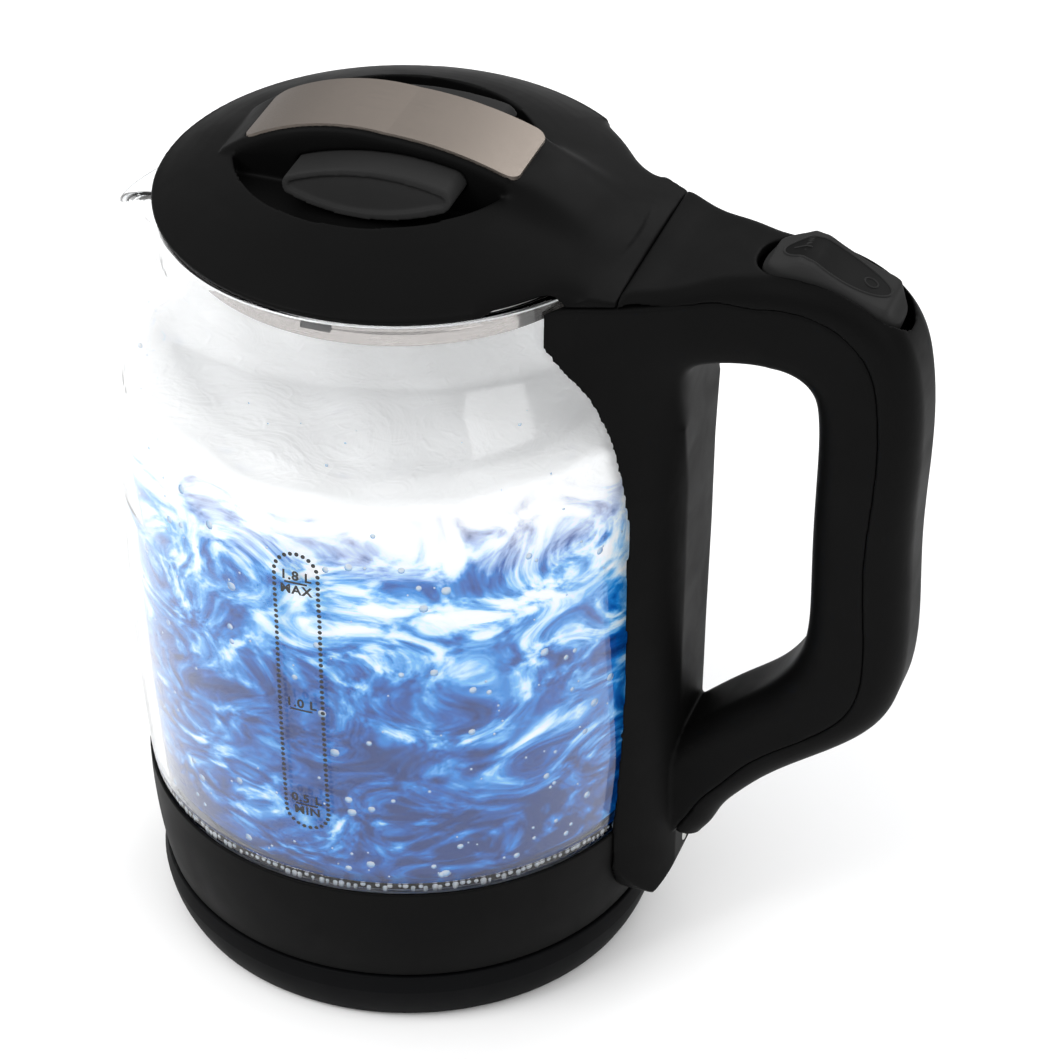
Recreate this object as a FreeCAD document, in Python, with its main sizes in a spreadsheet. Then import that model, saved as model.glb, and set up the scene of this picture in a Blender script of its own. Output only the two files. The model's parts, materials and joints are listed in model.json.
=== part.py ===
import FreeCAD, Part
import math
import os
import Sketcher

# Glass jug kettle, 1.8 litres, on its round cordless power base.
# Millimetres. +Z is up, +X points from the jug to the handle and -X to the spout. The origin is on the
# jug's vertical axis, at counter level.

Vector = FreeCAD.Vector
UP = Vector(0, 0, 1)

document = FreeCAD.newDocument("kettle")
sheet = document.addObject("Spreadsheet::Sheet", "dims")

# The driving dimensions: alias, value, meaning.
DIMENSIONS = [
    ("wall", 2.4, "moulded plastic wall"),
    ("gap", 0.3, "clearance between separate bodies"),
    ("base_bottom_radius", 69.0, "power base where it meets the counter"),
    ("base_bulge_radius", 72.5, "power base at its widest"),
    ("base_seam_radius", 71.9, "power base at the seam under the jug"),
    ("base_top", 17.0, "height of the power base"),
    ("foot_height", 1.5, "how far the rubber feet lift the base"),
    ("foot_circle", 56.0, "radius on which the feet lie"),
    ("connector_radius", 16.5, "cordless connector on the base"),
    ("connector_top", 30.0, "top of the connector"),
    ("cord_radius", 3.6, "bore of the cord grommet"),
    ("cord_height", 9.0, "height of the cord's axis"),
    ("collar_bottom", 17.6, "lower edge of the collar"),
    ("collar_bottom_radius", 71.4, "collar at the seam"),
    ("collar_middle_radius", 74.0, "collar a third of the way up"),
    ("collar_top_radius", 75.0, "collar at its upper edge"),
    ("collar_top", 50.2, "upper edge of the collar"),
    ("ledge_top", 38.4, "inner ledge that carries the heating plate"),
    ("plate_top", 49.0, "top of the heating plate"),
    ("glass_wall", 3.0, "glass wall"),
    ("glass_bottom", 45.0, "lower edge of the glass"),
    ("glass_foot_radius", 74.4, "glass just above the collar"),
    ("glass_belly_radius", 78.3, "glass at its widest"),
    ("glass_belly", 144.0, "height of the widest part"),
    ("glass_neck_radius", 64.6, "glass neck, outside"),
    ("glass_neck", 214.0, "where the shoulder meets the neck"),
    ("glass_rim", 228.1, "rim of the glass"),
    ("spout_reach", 82.2, "how far the spout's tip is from the axis"),
    ("spout_tip", 209.8, "height of the spout's tip"),
    ("step_z", 225.4, "step under the lid's tail and the handle cover"),
    ("lid_rim", 228.4, "lower edge of the lid's rim"),
    ("lid_radius", 65.7, "lid at its widest"),
    ("dome_top", 247.5, "crown of the lid's dome"),
    ("dome_sphere", 134.0, "radius of the dome's curve"),
    ("bridge_top", 253.6, "crown of the grip bridge"),
    ("bridge_half", 14.2, "half width of the grip bridge"),
    ("trim_half", 12.6, "half width of the steel trim"),
    ("recess_radius", 40.0, "outline of the finger recesses"),
    ("recess_floor", 234.6, "floor of the finger recesses"),
    ("button_face", 26.5, "distance of a button's face from the middle"),
    ("ring_radius", 57.7, "polished ring round the lid's plug"),
    ("ring_bottom", 218.6, "lower edge of that ring"),
    ("ring_top", 222.4, "upper edge of that ring"),
    ("grip_wall", 2.4, "wall of the handle shells"),
    ("rocker_half", 9.0, "half width of the rocker switch"),
    ("rocker_x", 120.0, "pivot of the rocker switch"),
    ("rocker_z", 221.5, "pivot of the rocker switch"),
    ("rocker_pin_radius", 1.5, "steel pin of the rocker switch"),
]


def fill_sheet():
    for row, (alias, value, meaning) in enumerate(DIMENSIONS, start=1):
        sheet.set("A%d" % row, alias)
        sheet.set("B%d" % row, str(value))
        sheet.set("C%d" % row, meaning)
        sheet.setAlias("B%d" % row, alias)


class Size:
    """A length that knows its value and the spreadsheet expression that gives it."""

    def __init__(self, value, text=None):
        self.value = float(value)
        self.text = text or "%g" % value

    def _join(self, other, sign, value):
        return Size(value, "(%s %s %s)" % (self.text, sign, other.text))

    def __add__(self, other):
        other = as_size(other)
        return self._join(other, "+", self.value + other.value)

    def __sub__(self, other):
        other = as_size(other)
        return self._join(other, "-", self.value - other.value)

    def __mul__(self, other):
        other = as_size(other)
        return self._join(other, "*", self.value * other.value)

    def __neg__(self):
        return Size(-self.value, "(-1 * %s)" % self.text)

    def __radd__(self, other):
        return as_size(other) + self

    def __rsub__(self, other):
        return as_size(other) - self

    def __rmul__(self, other):
        return self * other


def as_size(number):
    return number if isinstance(number, Size) else Size(number)


class Dims:
    """The driving dimensions by name."""

    def __init__(self):
        for alias, value, _ in DIMENSIONS:
            setattr(self, alias, Size(value, "dims." + alias))


fill_sheet()
document.recompute()
D = Dims()
NODES = []


def node(name, shape_object):
    """Registers a finished piece under the name of its file."""
    shape_object.Label = name
    NODES.append(shape_object)
    return shape_object


def bind(target, path, size):
    size = as_size(size)
    if "dims." in size.text:
        target.setExpression(path, size.text)


def place(target, x=0, y=0, z=0, axis=UP):
    """Puts an object at a point, with its own Z along the axis."""
    x, y, z = as_size(x), as_size(y), as_size(z)
    turn = FreeCAD.Rotation(UP, Vector(*axis))
    target.Placement = FreeCAD.Placement(Vector(x.value, y.value, z.value), turn)
    bind(target, "Placement.Base.x", x)
    bind(target, "Placement.Base.y", y)
    bind(target, "Placement.Base.z", z)
    return target


# ---------------------------------------------------------------- sketches

def corner_points(outline):
    return [Vector(as_size(c[0]).value, as_size(c[1]).value, 0) for c in outline]


def arc_between(start, end, radius):
    """The shorter arc between two points. It bulges to the right of the way travelled if the radius is
    positive, and then runs anticlockwise from start to end; a negative radius bulges to the left."""
    chord = end - start
    side = Vector(chord.y, -chord.x, 0).normalize()
    rise = math.sqrt(radius * radius - chord.Length ** 2 / 4)
    centre = (start + end) * 0.5 - side * math.copysign(rise, radius)
    first, last = (start, end) if radius > 0 else (end, start)
    angles = [math.atan2(point.y - centre.y, point.x - centre.x) for point in (first, last)]
    if angles[1] < angles[0]:
        angles[1] += 2 * math.pi
    return Part.ArcOfCircle(Part.Circle(centre, UP, abs(radius)), *angles)


def backwards(outline):
    """The same open outline, travelled the other way."""
    corners = []
    radius = None
    for u, v, *arc in reversed(outline):
        corners.append((u, v) if radius is None else (u, v, -radius))
        radius = arc[0] if arc else None
    return corners


def draw_outline(sketch, outline):
    """Draws a closed outline. A corner is (u, v), or (u, v, radius) where an arc arrives at it."""
    points = corner_points(outline)
    count = len(points)
    first = sketch.GeometryCount
    ends = []
    for index, corner in enumerate(outline):
        radius = as_size(corner[2]) if len(corner) > 2 else None
        if radius is None:
            sketch.addGeometry(Part.LineSegment(points[index - 1], points[index]), False)
        else:
            sketch.addGeometry(arc_between(points[index - 1], points[index], radius.value), False)
        ends.append((2, 1) if radius is not None and radius.value < 0 else (1, 2))
    for index in range(count):
        after = (index + 1) % count
        sketch.addConstraint(Sketcher.Constraint(
            "Coincident", first + index, ends[index][1], first + after, ends[after][0]))
    for index, corner in enumerate(outline):
        for kind, size in (("DistanceX", as_size(corner[0])), ("DistanceY", as_size(corner[1]))):
            number = sketch.addConstraint(
                Sketcher.Constraint(kind, -1, 1, first + index, ends[index][1], size.value))
            bind(sketch, "Constraints[%d]" % number, size)
        if len(corner) > 2:
            radius = as_size(corner[2])
            radius = -radius if radius.value < 0 else radius
            number = sketch.addConstraint(Sketcher.Constraint("Radius", first + index, radius.value))
            bind(sketch, "Constraints[%d]" % number, radius)


def draw_circle(sketch, u, v, radius):
    u, v, radius = as_size(u), as_size(v), as_size(radius)
    circle = Part.Circle(Vector(u.value, v.value, 0), UP, radius.value)
    index = sketch.addGeometry(circle, False)
    for kind, size in (("DistanceX", u), ("DistanceY", v)):
        number = sketch.addConstraint(Sketcher.Constraint(kind, -1, 1, index, 3, size.value))
        bind(sketch, "Constraints[%d]" % number, size)
    number = sketch.addConstraint(Sketcher.Constraint("Radius", index, radius.value))
    bind(sketch, "Constraints[%d]" % number, radius)


def body_sketch(body, name, role, outlines, circles=(), offset=0):
    """A sketch on one of the body's own origin planes, moved along its normal by the offset."""
    plane = [feature for feature in body.Origin.OriginFeatures if feature.Role == role][0]
    sketch = body.newObject("Sketcher::SketchObject", name + "_sketch")
    sketch.AttachmentSupport = [(plane, "")]
    sketch.MapMode = "FlatFace"
    offset = as_size(offset)
    sketch.AttachmentOffset = FreeCAD.Placement(Vector(0, 0, offset.value), FreeCAD.Rotation())
    bind(sketch, "AttachmentOffset.Base.z", offset)
    for outline in outlines:
        draw_outline(sketch, outline)
    for circle in circles:
        draw_circle(sketch, *circle)
    return sketch


# ---------------------------------------------------------------- solids

SEAM_ANGLE = 130


def turned(name, outline):
    """A body of revolution about the vertical axis, from its outline in radius and height. The line
    where its surface closes is turned away from the holes."""
    body = document.addObject("PartDesign::Body", name)
    body.Placement = FreeCAD.Placement(Vector(), FreeCAD.Rotation(UP, SEAM_ANGLE))
    sketch = body_sketch(body, name, "XZ_Plane", [outline])
    turn = body.newObject("PartDesign::Revolution", name + "_turn")
    turn.Profile = sketch
    turn.ReferenceAxis = (sketch, ["V_Axis"])
    turn.Angle = 360
    return body


def slab(name, low, high, outlines=(), circles=()):
    """A flat body from z = low to z = high."""
    body = document.addObject("PartDesign::Body", name)
    sketch = body_sketch(body, name, "XY_Plane", outlines, circles, low)
    pad = body.newObject("PartDesign::Pad", name + "_pad")
    pad.Profile = sketch
    pad.Length = (as_size(high) - low).value
    bind(pad, "Length", as_size(high) - low)
    return body


def side_slab(name, half, outlines, circles=()):
    """A body with its outline in x and z, from y = -half to y = half."""
    body = document.addObject("PartDesign::Body", name)
    sketch = body_sketch(body, name, "XZ_Plane", outlines, circles)
    pad = body.newObject("PartDesign::Pad", name + "_pad")
    pad.Profile = sketch
    pad.Midplane = True
    pad.Length = (as_size(half) * 2).value
    bind(pad, "Length", as_size(half) * 2)
    return body


def cross_slab(name, low, high, outline):
    """A body with its outline in y and z, from x = low to x = high."""
    body = document.addObject("PartDesign::Body", name)
    sketch = body_sketch(body, name, "YZ_Plane", [outline], (), low)
    pad = body.newObject("PartDesign::Pad", name + "_pad")
    pad.Profile = sketch
    pad.Length = high - low
    return body


def cylinder(name, radius, length, x=0, y=0, z=0, axis=UP):
    solid = document.addObject("Part::Cylinder", name)
    radius, length = as_size(radius), as_size(length)
    solid.Radius, solid.Height = radius.value, length.value
    bind(solid, "Radius", radius)
    bind(solid, "Height", length)
    return place(solid, x, y, z, axis)


def box(name, low, high):
    """A box between two opposite corners."""
    solid = document.addObject("Part::Box", name)
    low = [as_size(value) for value in low]
    for side, start, end in zip(("Length", "Width", "Height"), low, high):
        size = as_size(end) - start
        setattr(solid, side, size.value)
        bind(solid, side, size)
    return place(solid, *low)


def ring(name, inner, outer, low, high):
    """A plain ring with a square section."""
    return turned(name, [(inner, low), (outer, low), (outer, high), (inner, high)])


def pipe(name, radius, points):
    """A round wire through the points, with a ball at each bend."""
    pieces = []
    for number, (start, end) in enumerate(zip(points, points[1:])):
        run = Vector(*end) - Vector(*start)
        pieces.append(cylinder("%s_run_%d" % (name, number), radius, run.Length, *start, axis=run))
    for number, bend in enumerate(points[1:-1]):
        ball = document.addObject("Part::Sphere", "%s_bend_%d" % (name, number))
        ball.Radius = radius
        pieces.append(place(ball, *bend))
    return fuse(name, *pieces)


def fuse(name, *shapes):
    joined = document.addObject("Part::MultiFuse", name)
    joined.Shapes = list(shapes)
    joined.Refine = True
    return joined


def common(name, first, second):
    shared = document.addObject("Part::Common", name)
    shared.Base, shared.Tool = first, second
    return shared


def cut(name, base, *tools):
    tool = tools[0] if len(tools) == 1 else fuse(name + "_tools", *tools)
    removed = document.addObject("Part::Cut", name)
    removed.Base, removed.Tool = base, tool
    return removed


def group(name, solids):
    """Several identical pieces that share one node."""
    compound = document.addObject("Part::Compound", name)
    compound.Links = list(solids)
    return compound


def mirrored(name, source):
    """The source's mirror image across the middle plane y = 0."""
    image = document.addObject("Part::Mirroring", name)
    image.Source = source
    image.Normal = Vector(0, 1, 0)
    return image


def rounded(name, base, radius, wanted):
    """The base with the edges rounded for which wanted(edge) is true."""
    document.recompute()
    fillet = document.addObject("Part::Fillet", name)
    fillet.Base = base
    fillet.Edges = [(number, radius, radius)
                    for number, edge in enumerate(base.Shape.Edges, start=1) if wanted(edge)]
    return fillet


def loft(name, sketches):
    solid = document.addObject("Part::Loft", name)
    solid.Sections = sketches
    solid.Solid = True
    solid.Ruled = False
    return solid


def on_circle(count, radius, start=0):
    """Points evenly spaced on a circle about the axis, as (x, y, degrees)."""
    for index in range(count):
        degrees = start + 360.0 * index / count
        turn = math.radians(degrees)
        yield as_size(radius) * round(math.cos(turn), 9), as_size(radius) * round(math.sin(turn), 9), degrees


def screw(name, x, y, z, length, axis=UP, head=2.9, shank=1.4):
    """A pan-head screw: the head's top is at the point given, and the shank runs along the axis."""
    direction = Vector(*axis)
    head_height = 2.0
    x, y, z = as_size(x), as_size(y), as_size(z)
    top = cylinder(name + "_head", head, head_height, x, y, z, direction)
    shaft = cylinder(name + "_shank", shank, length, x, y, z, direction)
    slot = cylinder(name + "_socket", 1.1, 1.0, x, y, z, direction)
    return cut(name, fuse(name + "_solid", top, shaft), slot)


# ---------------------------------------------------------------- power base

def base_cover():
    """The dish-shaped upper shell of the power base, open below, with a boss for the connector."""
    top = D.base_top
    outline = [
        (D.base_bottom_radius - D.wall, D.foot_height),
        (D.base_bottom_radius, D.foot_height),
        (D.base_bulge_radius, 12.0, 26.0),
        (D.base_seam_radius, top - 0.8, 26.0),
        (D.base_seam_radius - 0.8, top, 0.8),
        (24.0, top),
        (22.0, top + 3.0),
        (D.connector_radius + 0.4, top + 3.0),
        (D.connector_radius + 0.4, top - D.wall),
        (D.base_seam_radius - D.wall - 1.5, top - D.wall),
        (D.base_bulge_radius - D.wall, 11.0, -20.0),
    ]
    shell = turned("base_cover_shell", outline)
    bosses = [cylinder("base_boss_%d" % turn, 4.0, 12.0, x, y, 3.6)
              for x, y, turn in on_circle(3, 46.0, 30)]
    posts = [box("clamp_post_%d" % side, (side * 10.0 - 3.0, 48.0, 5.6), (side * 10.0 + 3.0, 56.0, 15.0))
             for side in (-1, 1)]
    holes = [cylinder("base_boss_hole_%d" % turn, 1.5, 10.0, x, y, 3.0)
             for x, y, turn in on_circle(3, 46.0, 30)]
    holes += [cylinder("clamp_post_hole_%d" % side, 1.5, 7.0, side * 10.0, 52.0, 5.0) for side in (-1, 1)]
    inlet = cylinder("inlet_hole", 5.2, 20.0, 0, 60.0, D.cord_height, (0, 1, 0))
    inlet_seat = cylinder("inlet_seat", 6.5, 8.0, 0, D.base_bulge_radius - 0.6, D.cord_height, (0, 1, 0))
    whole = fuse("base_cover_solid", shell, *bosses, *posts)
    return node("base_cover", cut("base_cover", whole, inlet, inlet_seat, *holes))


def base_plate():
    """The bottom plate, with holes for the screws and the stems of the feet."""
    plate = slab("base_plate_disc", D.foot_height, D.foot_height + 2.0,
                 circles=[(0, 0, D.base_bottom_radius - D.wall - 0.4)])
    holes = [cylinder("base_plate_hole_%d" % turn, 1.6, 4.0, x, y, 1.0)
             for x, y, turn in on_circle(3, 46.0, 30)]
    holes += [cylinder("foot_hole_%d" % turn, 2.55, 4.0, x, y, 1.0)
              for x, y, turn in on_circle(3, D.foot_circle, 90)]
    seats = [cylinder("base_screw_seat_%d" % turn, 3.1, 1.4, x, y, 1.0)
             for x, y, turn in on_circle(3, 46.0, 30)]
    return node("base_plate", cut("base_plate", plate, *holes, *seats))


def rubber_feet():
    """Round feet with stems that are pushed through the bottom plate."""
    feet = []
    for x, y, turn in on_circle(3, D.foot_circle, 90):
        pad = cylinder("foot_pad_%d" % turn, 6.5, D.foot_height, x, y, 0)
        stem = cylinder("foot_stem_%d" % turn, 2.5, 3.0, x, y, 1.0)
        feet.append(fuse("foot_%d" % turn, pad, stem))
    return node("rubber_feet", group("rubber_feet", feet))


def base_screws():
    screws = [screw("base_screw_%d" % turn, x, y, D.foot_height - 1.2, 10.0, shank=1.35)
              for x, y, turn in on_circle(3, 46.0, 30)]
    return node("base_screws", group("base_screws", screws))


def base_connector():
    """The round connector: concentric slots for the contact rings and a socket for the centre pin."""
    core = turned("connector_core", [
        (0, 5.0), (D.connector_radius + 3.0, 5.0), (D.connector_radius + 3.0, 14.0),
        (D.connector_radius, 14.0), (D.connector_radius, D.connector_top - 1.5),
        (D.connector_radius - 1.5, D.connector_top, 1.5), (0, D.connector_top),
    ])
    slots = [
        cylinder("pin_socket", 2.3, 16.0, 0, 0, 16.0),
        ring("inner_slot", 4.8, 7.2, 16.0, 32.0),
        ring("outer_slot", 9.8, 12.2, 16.0, 32.0),
    ]
    return node("base_connector", cut("base_connector", core, *slots))


def base_contacts():
    """Brass contacts at the bottom of the connector's socket and slots."""
    pin = cylinder("earth_contact", 2.2, 2.5, 0, 0, 16.0)
    inner = ring("inner_contact", 4.9, 7.1, 16.0, 18.0)
    outer = ring("outer_contact", 9.9, 12.1, 16.0, 18.0)
    return node("base_contacts", group("base_contacts", [pin, inner, outer]))


def cord_grommet():
    """The rubber bush in the base's wall that a mains cord comes out of."""
    bush = fuse("grommet_solid",
                cylinder("grommet_sleeve", 5.0, 11.0, 0, 61.8, D.cord_height, (0, 1, 0)),
                cylinder("grommet_collar", 6.3, 2.85, 0, 71.95, D.cord_height, (0, 1, 0)),
                cylinder("grommet_lip", 5.4, 2.0, 0, 61.8, D.cord_height, (0, 1, 0)))
    bore = cylinder("grommet_bore", D.cord_radius, 16.0, 0, 60.0, D.cord_height, (0, 1, 0))
    return node("cord_grommet", cut("cord_grommet", bush, bore))


def cord_clamp():
    """The bar that clamps the cord against the cover, inside the base."""
    bar = box("clamp_bar", (-14.0, 48.5, 4.2), (14.0, 55.5, 5.5))
    holes = [cylinder("clamp_hole_%d" % side, 1.6, 4.0, side * 10.0, 52.0, 3.0) for side in (-1, 1)]
    node("cord_clamp", cut("cord_clamp", bar, *holes))
    screws = []
    for side in (-1, 1):
        shank = cylinder("clamp_screw_shank_%d" % side, 1.35, 7.0, side * 10.0, 52.0, 3.8)
        head = cylinder("clamp_screw_head_%d" % side, 2.6, 0.4, side * 10.0, 52.0, 3.8)
        screws.append(fuse("clamp_screw_%d" % side, head, shank))
    return node("clamp_screws", group("clamp_screws", screws))


# ---------------------------------------------------------------- jug: collar and underside

def collar():
    """The black ring round the foot of the glass, with an inner ledge and screw bosses."""
    inner_top = D.glass_foot_radius - 1.9
    outline = [
        (D.collar_bottom_radius - D.wall, D.collar_bottom),
        (D.collar_bottom_radius - 0.8, D.collar_bottom),
        (D.collar_bottom_radius, D.collar_bottom + 0.8, 0.8),
        (D.collar_middle_radius, 34.0, 120.0),
        (D.collar_top_radius, D.collar_top - 0.6, 160.0),
        (D.collar_top_radius - 0.6, D.collar_top, 0.6),
        (D.glass_foot_radius - 0.15, D.collar_top),
        (D.glass_foot_radius - 0.15, D.collar_top - 0.5),
        (inner_top, D.collar_top - 2.3),
        (inner_top, D.ledge_top),
        (62.0, D.ledge_top),
        (62.0, D.ledge_top - 2.6),
        (D.collar_middle_radius - D.wall, D.ledge_top - 2.6),
    ]
    shell = turned("collar_shell", outline)
    bosses = [cylinder("collar_boss_%d" % turn, 4.0, D.ledge_top - 20.6, x, y, 20.4)
              for x, y, turn in on_circle(3, 62.5, 60)]
    holes = [cylinder("collar_boss_hole_%d" % turn, 1.5, 12.0, x, y, 20.0)
             for x, y, turn in on_circle(3, 62.5, 60)]
    lights = [cylinder("light_hole_%d" % turn, 3.0, 6.0, x, y, D.ledge_top - 4.0)
              for x, y, turn in light_places()]
    anchor = box("strap_anchor", (64.0, -5.0, 32.4), (73.0, 5.0, D.ledge_top - 0.6))
    anchor_hole = cylinder("strap_anchor_hole", 1.5, 16.0, 62.0, 0, 35.0, (1, 0, 0))
    leads = box("lead_hole", (60.0, -4.5, 28.0), (80.0, 4.5, 31.0))
    whole = fuse("collar_solid", shell, anchor, *bosses)
    return node("collar", cut("collar", whole, anchor_hole, leads, *holes, *lights))


def light_places():
    """Where the lamps sit under the edge of the glass, on the front of the jug."""
    for degrees in (205, 240, 275):
        turn = math.radians(degrees)
        yield 67.5 * math.cos(turn), 67.5 * math.sin(turn), degrees


def under_cover():
    """The plate that closes the jug's underside, open in the middle for the connector."""
    outer = D.collar_bottom_radius - D.wall - 0.6
    shell = turned("under_cover_disc", [
        (24.5, 18.0), (56.0, 18.0), (57.0, D.base_top), (64.0, D.base_top), (65.0, 18.0),
        (outer, 18.0), (outer, 20.2), (26.9, 20.2), (26.9, 26.0), (24.5, 26.0),
    ])
    holes = [cylinder("under_cover_hole_%d" % turn, 1.6, 6.0, x, y, 16.0)
             for x, y, turn in on_circle(3, 62.5, 60)]
    recesses = [cylinder("under_cover_recess_%d" % turn, 3.1, 2.5, x, y, 16.6)
                for x, y, turn in on_circle(3, 62.5, 60)]
    return node("under_cover", cut("under_cover", shell, *holes, *recesses))


def under_cover_screws():
    screws = [screw("under_screw_%d" % turn, x, y, D.base_top + 0.1, 11.0, head=2.8, shank=1.35)
              for x, y, turn in on_circle(3, 62.5, 60)]
    return node("under_cover_screws", group("under_cover_screws", screws))


def heating_plate():
    """The stainless floor of the jug: a shallow upturned pan with a flange under the seal."""
    top = D.plate_top
    low = D.ledge_top + 2.6
    return node("heating_plate", turned("heating_plate", [
        (0, top - 1.2), (64.6, top - 1.2), (65.2, top - 1.8, -0.6), (65.2, low), (71.6, low),
        (71.6, low + 1.2), (66.4, low + 1.2), (66.4, top - 1.2), (65.2, top, 1.2), (0, top),
    ]))


def plate_clamp_ring():
    """The steel ring that spreads the load between the ledge and the plate's flange."""
    flat = turned("clamp_ring_flat", [
        (63.4, D.ledge_top), (72.0, D.ledge_top), (72.0, D.ledge_top + 2.6), (66.6, D.ledge_top + 2.6),
        (66.6, D.ledge_top + 1.2), (63.4, D.ledge_top + 1.2),
    ])
    holes = [cylinder("ring_light_hole_%d" % turn, 3.0, 6.0, x, y, D.ledge_top - 1.0)
             for x, y, turn in light_places()]
    return node("plate_clamp_ring", cut("plate_clamp_ring", flat, *holes))


def jug_seal():
    """The silicone ring between the glass and the heating plate's flange."""
    low = D.ledge_top + 3.8
    return node("jug_seal", turned("jug_seal", [
        (66.6, low), (72.3, low), (72.3, D.glass_bottom), (68.6, D.glass_bottom), (68.6, D.glass_bottom + 2.4),
        (66.6, D.glass_bottom + 2.4),
    ]))


def heat_spreader():
    return node("heat_spreader", slab("heat_spreader", D.plate_top - 4.0, D.plate_top - 1.2,
                                      circles=[(0, 0, 53.0)]))


def heating_element():
    """The sheathed tube, three quarters of a ring, with a cold pin at each end."""
    tube_radius = 3.6
    height = D.plate_top - 4.0 - tube_radius
    arc = document.addObject("Part::Torus", "element_arc")
    arc.Radius1, arc.Radius2, arc.Angle3 = 43.0, tube_radius, 270.0
    place(arc, 0, 0, height)
    arc.Placement = FreeCAD.Placement(Vector(0, 0, height.value), FreeCAD.Rotation(UP, 45))
    bind(arc, "Placement.Base.z", height)
    pins = []
    for side in (-1, 1):
        x = 43.0 * math.cos(math.radians(45))
        direction = Vector(x, side * -x, 0)
        direction.normalize()
        pin = cylinder("cold_pin_%d" % side, 1.5, 14.0, x, side * x, height, direction)
        pins.append(pin)
    return node("heating_element", fuse("heating_element", arc, *pins))


def control_body():
    """The moulded control under the jug: the female half of the connector, open below."""
    clear = D.connector_radius + 1.2
    shell = turned("control_shell", [
        (clear, 21.0), (clear + 2.6, 21.0), (clear + 2.6, 27.5), (clear + 5.6, 27.5), (clear + 5.6, 36.0),
        (0, 36.0), (0, D.connector_top + 1.2), (clear, D.connector_top + 1.2),
    ])
    terminals = [box("terminal_block_%d" % side, (14.0, side * 9.0 - 4.0, 36.0), (22.0, side * 9.0 + 4.0, 39.5))
                 for side in (-1, 1)]
    return node("control_body", fuse("control_body", shell, *terminals))


def control_contacts():
    """The centre pin and the two contact rings that reach down into the base's connector."""
    low = 19.0
    high = D.connector_top + 1.2
    pin = cylinder("earth_pin", 1.6, high - low, 0, 0, low)
    inner = ring("neutral_ring", 5.6, 6.4, low, high)
    outer = ring("line_ring", 10.6, 11.4, low, high)
    return node("control_contacts", group("control_contacts", [pin, inner, outer]))


def dry_boil_discs():
    """Two snap-action discs that cut the power when the jug boils dry."""
    discs = []
    for side in (-1, 1):
        plate = cylinder("dry_boil_disc_%d" % side, 8.0, 0.6, -8.0, side * 10.0, 36.0)
        button = cylinder("dry_boil_rivet_%d" % side, 1.5, D.plate_top - 4.0 - 36.0, -8.0, side * 10.0, 36.0)
        discs.append(fuse("dry_boil_%d" % side, plate, button))
    return node("dry_boil_discs", group("dry_boil_discs", discs))


def control_studs():
    """The studs that hang the control from the heat spreader, each with its nut."""
    studs = []
    for x, y, turn in on_circle(3, 20.0, 180):
        stud = cylinder("stud_%d" % turn, 1.5, D.plate_top - 4.0 - 36.0, x, y, 36.0)
        nut = cylinder("nut_%d" % turn, 3.0, 2.4, x, y, 36.0)
        studs.append(fuse("control_stud_%d" % turn, stud, nut))
    return node("control_studs", group("control_studs", studs))


def lamp_board():
    """The printed circuit board that carries the lamps, clipped under the collar's ledge."""
    board = ring("lamp_board_ring", 55.5, 70.2, 30.6, 32.2)
    sector = slab("lamp_board_sector", 30.0, 33.0, outlines=[[(0, 0), (-90.0, -20.0), (-60.0, -90.0),
                                                                (20.0, -90.0)]])
    bosses = [cylinder("board_boss_gap_%d" % turn, 5.0, 6.0, x, y, 28.0)
              for x, y, turn in on_circle(3, 62.5, 60)]
    return node("lamp_board", cut("lamp_board", common("lamp_board_piece", board, sector), *bosses))


def lamps():
    """Round-headed lamps that light the water through the edge of the seal."""
    pieces = []
    for x, y, turn in light_places():
        stem = cylinder("lamp_stem_%d" % turn, 2.4, 5.0, x, y, 32.2)
        dome = document.addObject("Part::Sphere", "lamp_dome_%d" % turn)
        dome.Radius = 2.4
        place(dome, x, y, 37.2)
        pieces.append(fuse("lamp_%d" % turn, stem, dome))
    return node("lamps", group("lamps", pieces))


# ---------------------------------------------------------------- jug: glass

def glass_outline(outward):
    """Outline of the glass from the axis outwards; outward moves the outer face, as a clearance."""
    wall = D.glass_wall
    foot = D.glass_foot_radius
    neck = D.glass_neck_radius
    outer = [
        (72.2 + outward, D.glass_bottom),
        (72.2 + outward, 48.6),
        (foot + outward, D.collar_top + 0.8, -3.0),
        (D.glass_belly_radius + outward, D.glass_belly, 900.0),
        (76.4 + outward, 176.0, 110.0),
        (68.0 + outward, 203.0, 80.0),
        (neck + outward, D.glass_neck, -34.0),
        (neck + outward, D.glass_rim - 2.2),
    ]
    inner = [
        (neck - 2.2, D.glass_rim, 2.2),
        (neck - 4.4, D.glass_rim - 2.2, 2.2),
        (neck - wall, D.glass_rim - 4.4),
        (neck - wall, D.glass_neck),
        (68.0 - wall * 0.95, 202.0, 34.0),
        (76.4 - wall, 175.0, -77.0),
        (D.glass_belly_radius - wall, D.glass_belly, -107.0),
        (foot - wall - 0.6, D.collar_top + 2.0, -900.0),
        (69.0, D.glass_bottom + 2.4),
        (69.0, D.glass_bottom),
    ]
    return outer, inner


def glass_solid(name, outward):
    """The glass as a filled solid of revolution, for cutting its neighbours clear of it."""
    outer, _ = glass_outline(outward)
    return turned(name, [(0, D.glass_bottom)] + outer + [(0, D.glass_rim - 2.2)])


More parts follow.
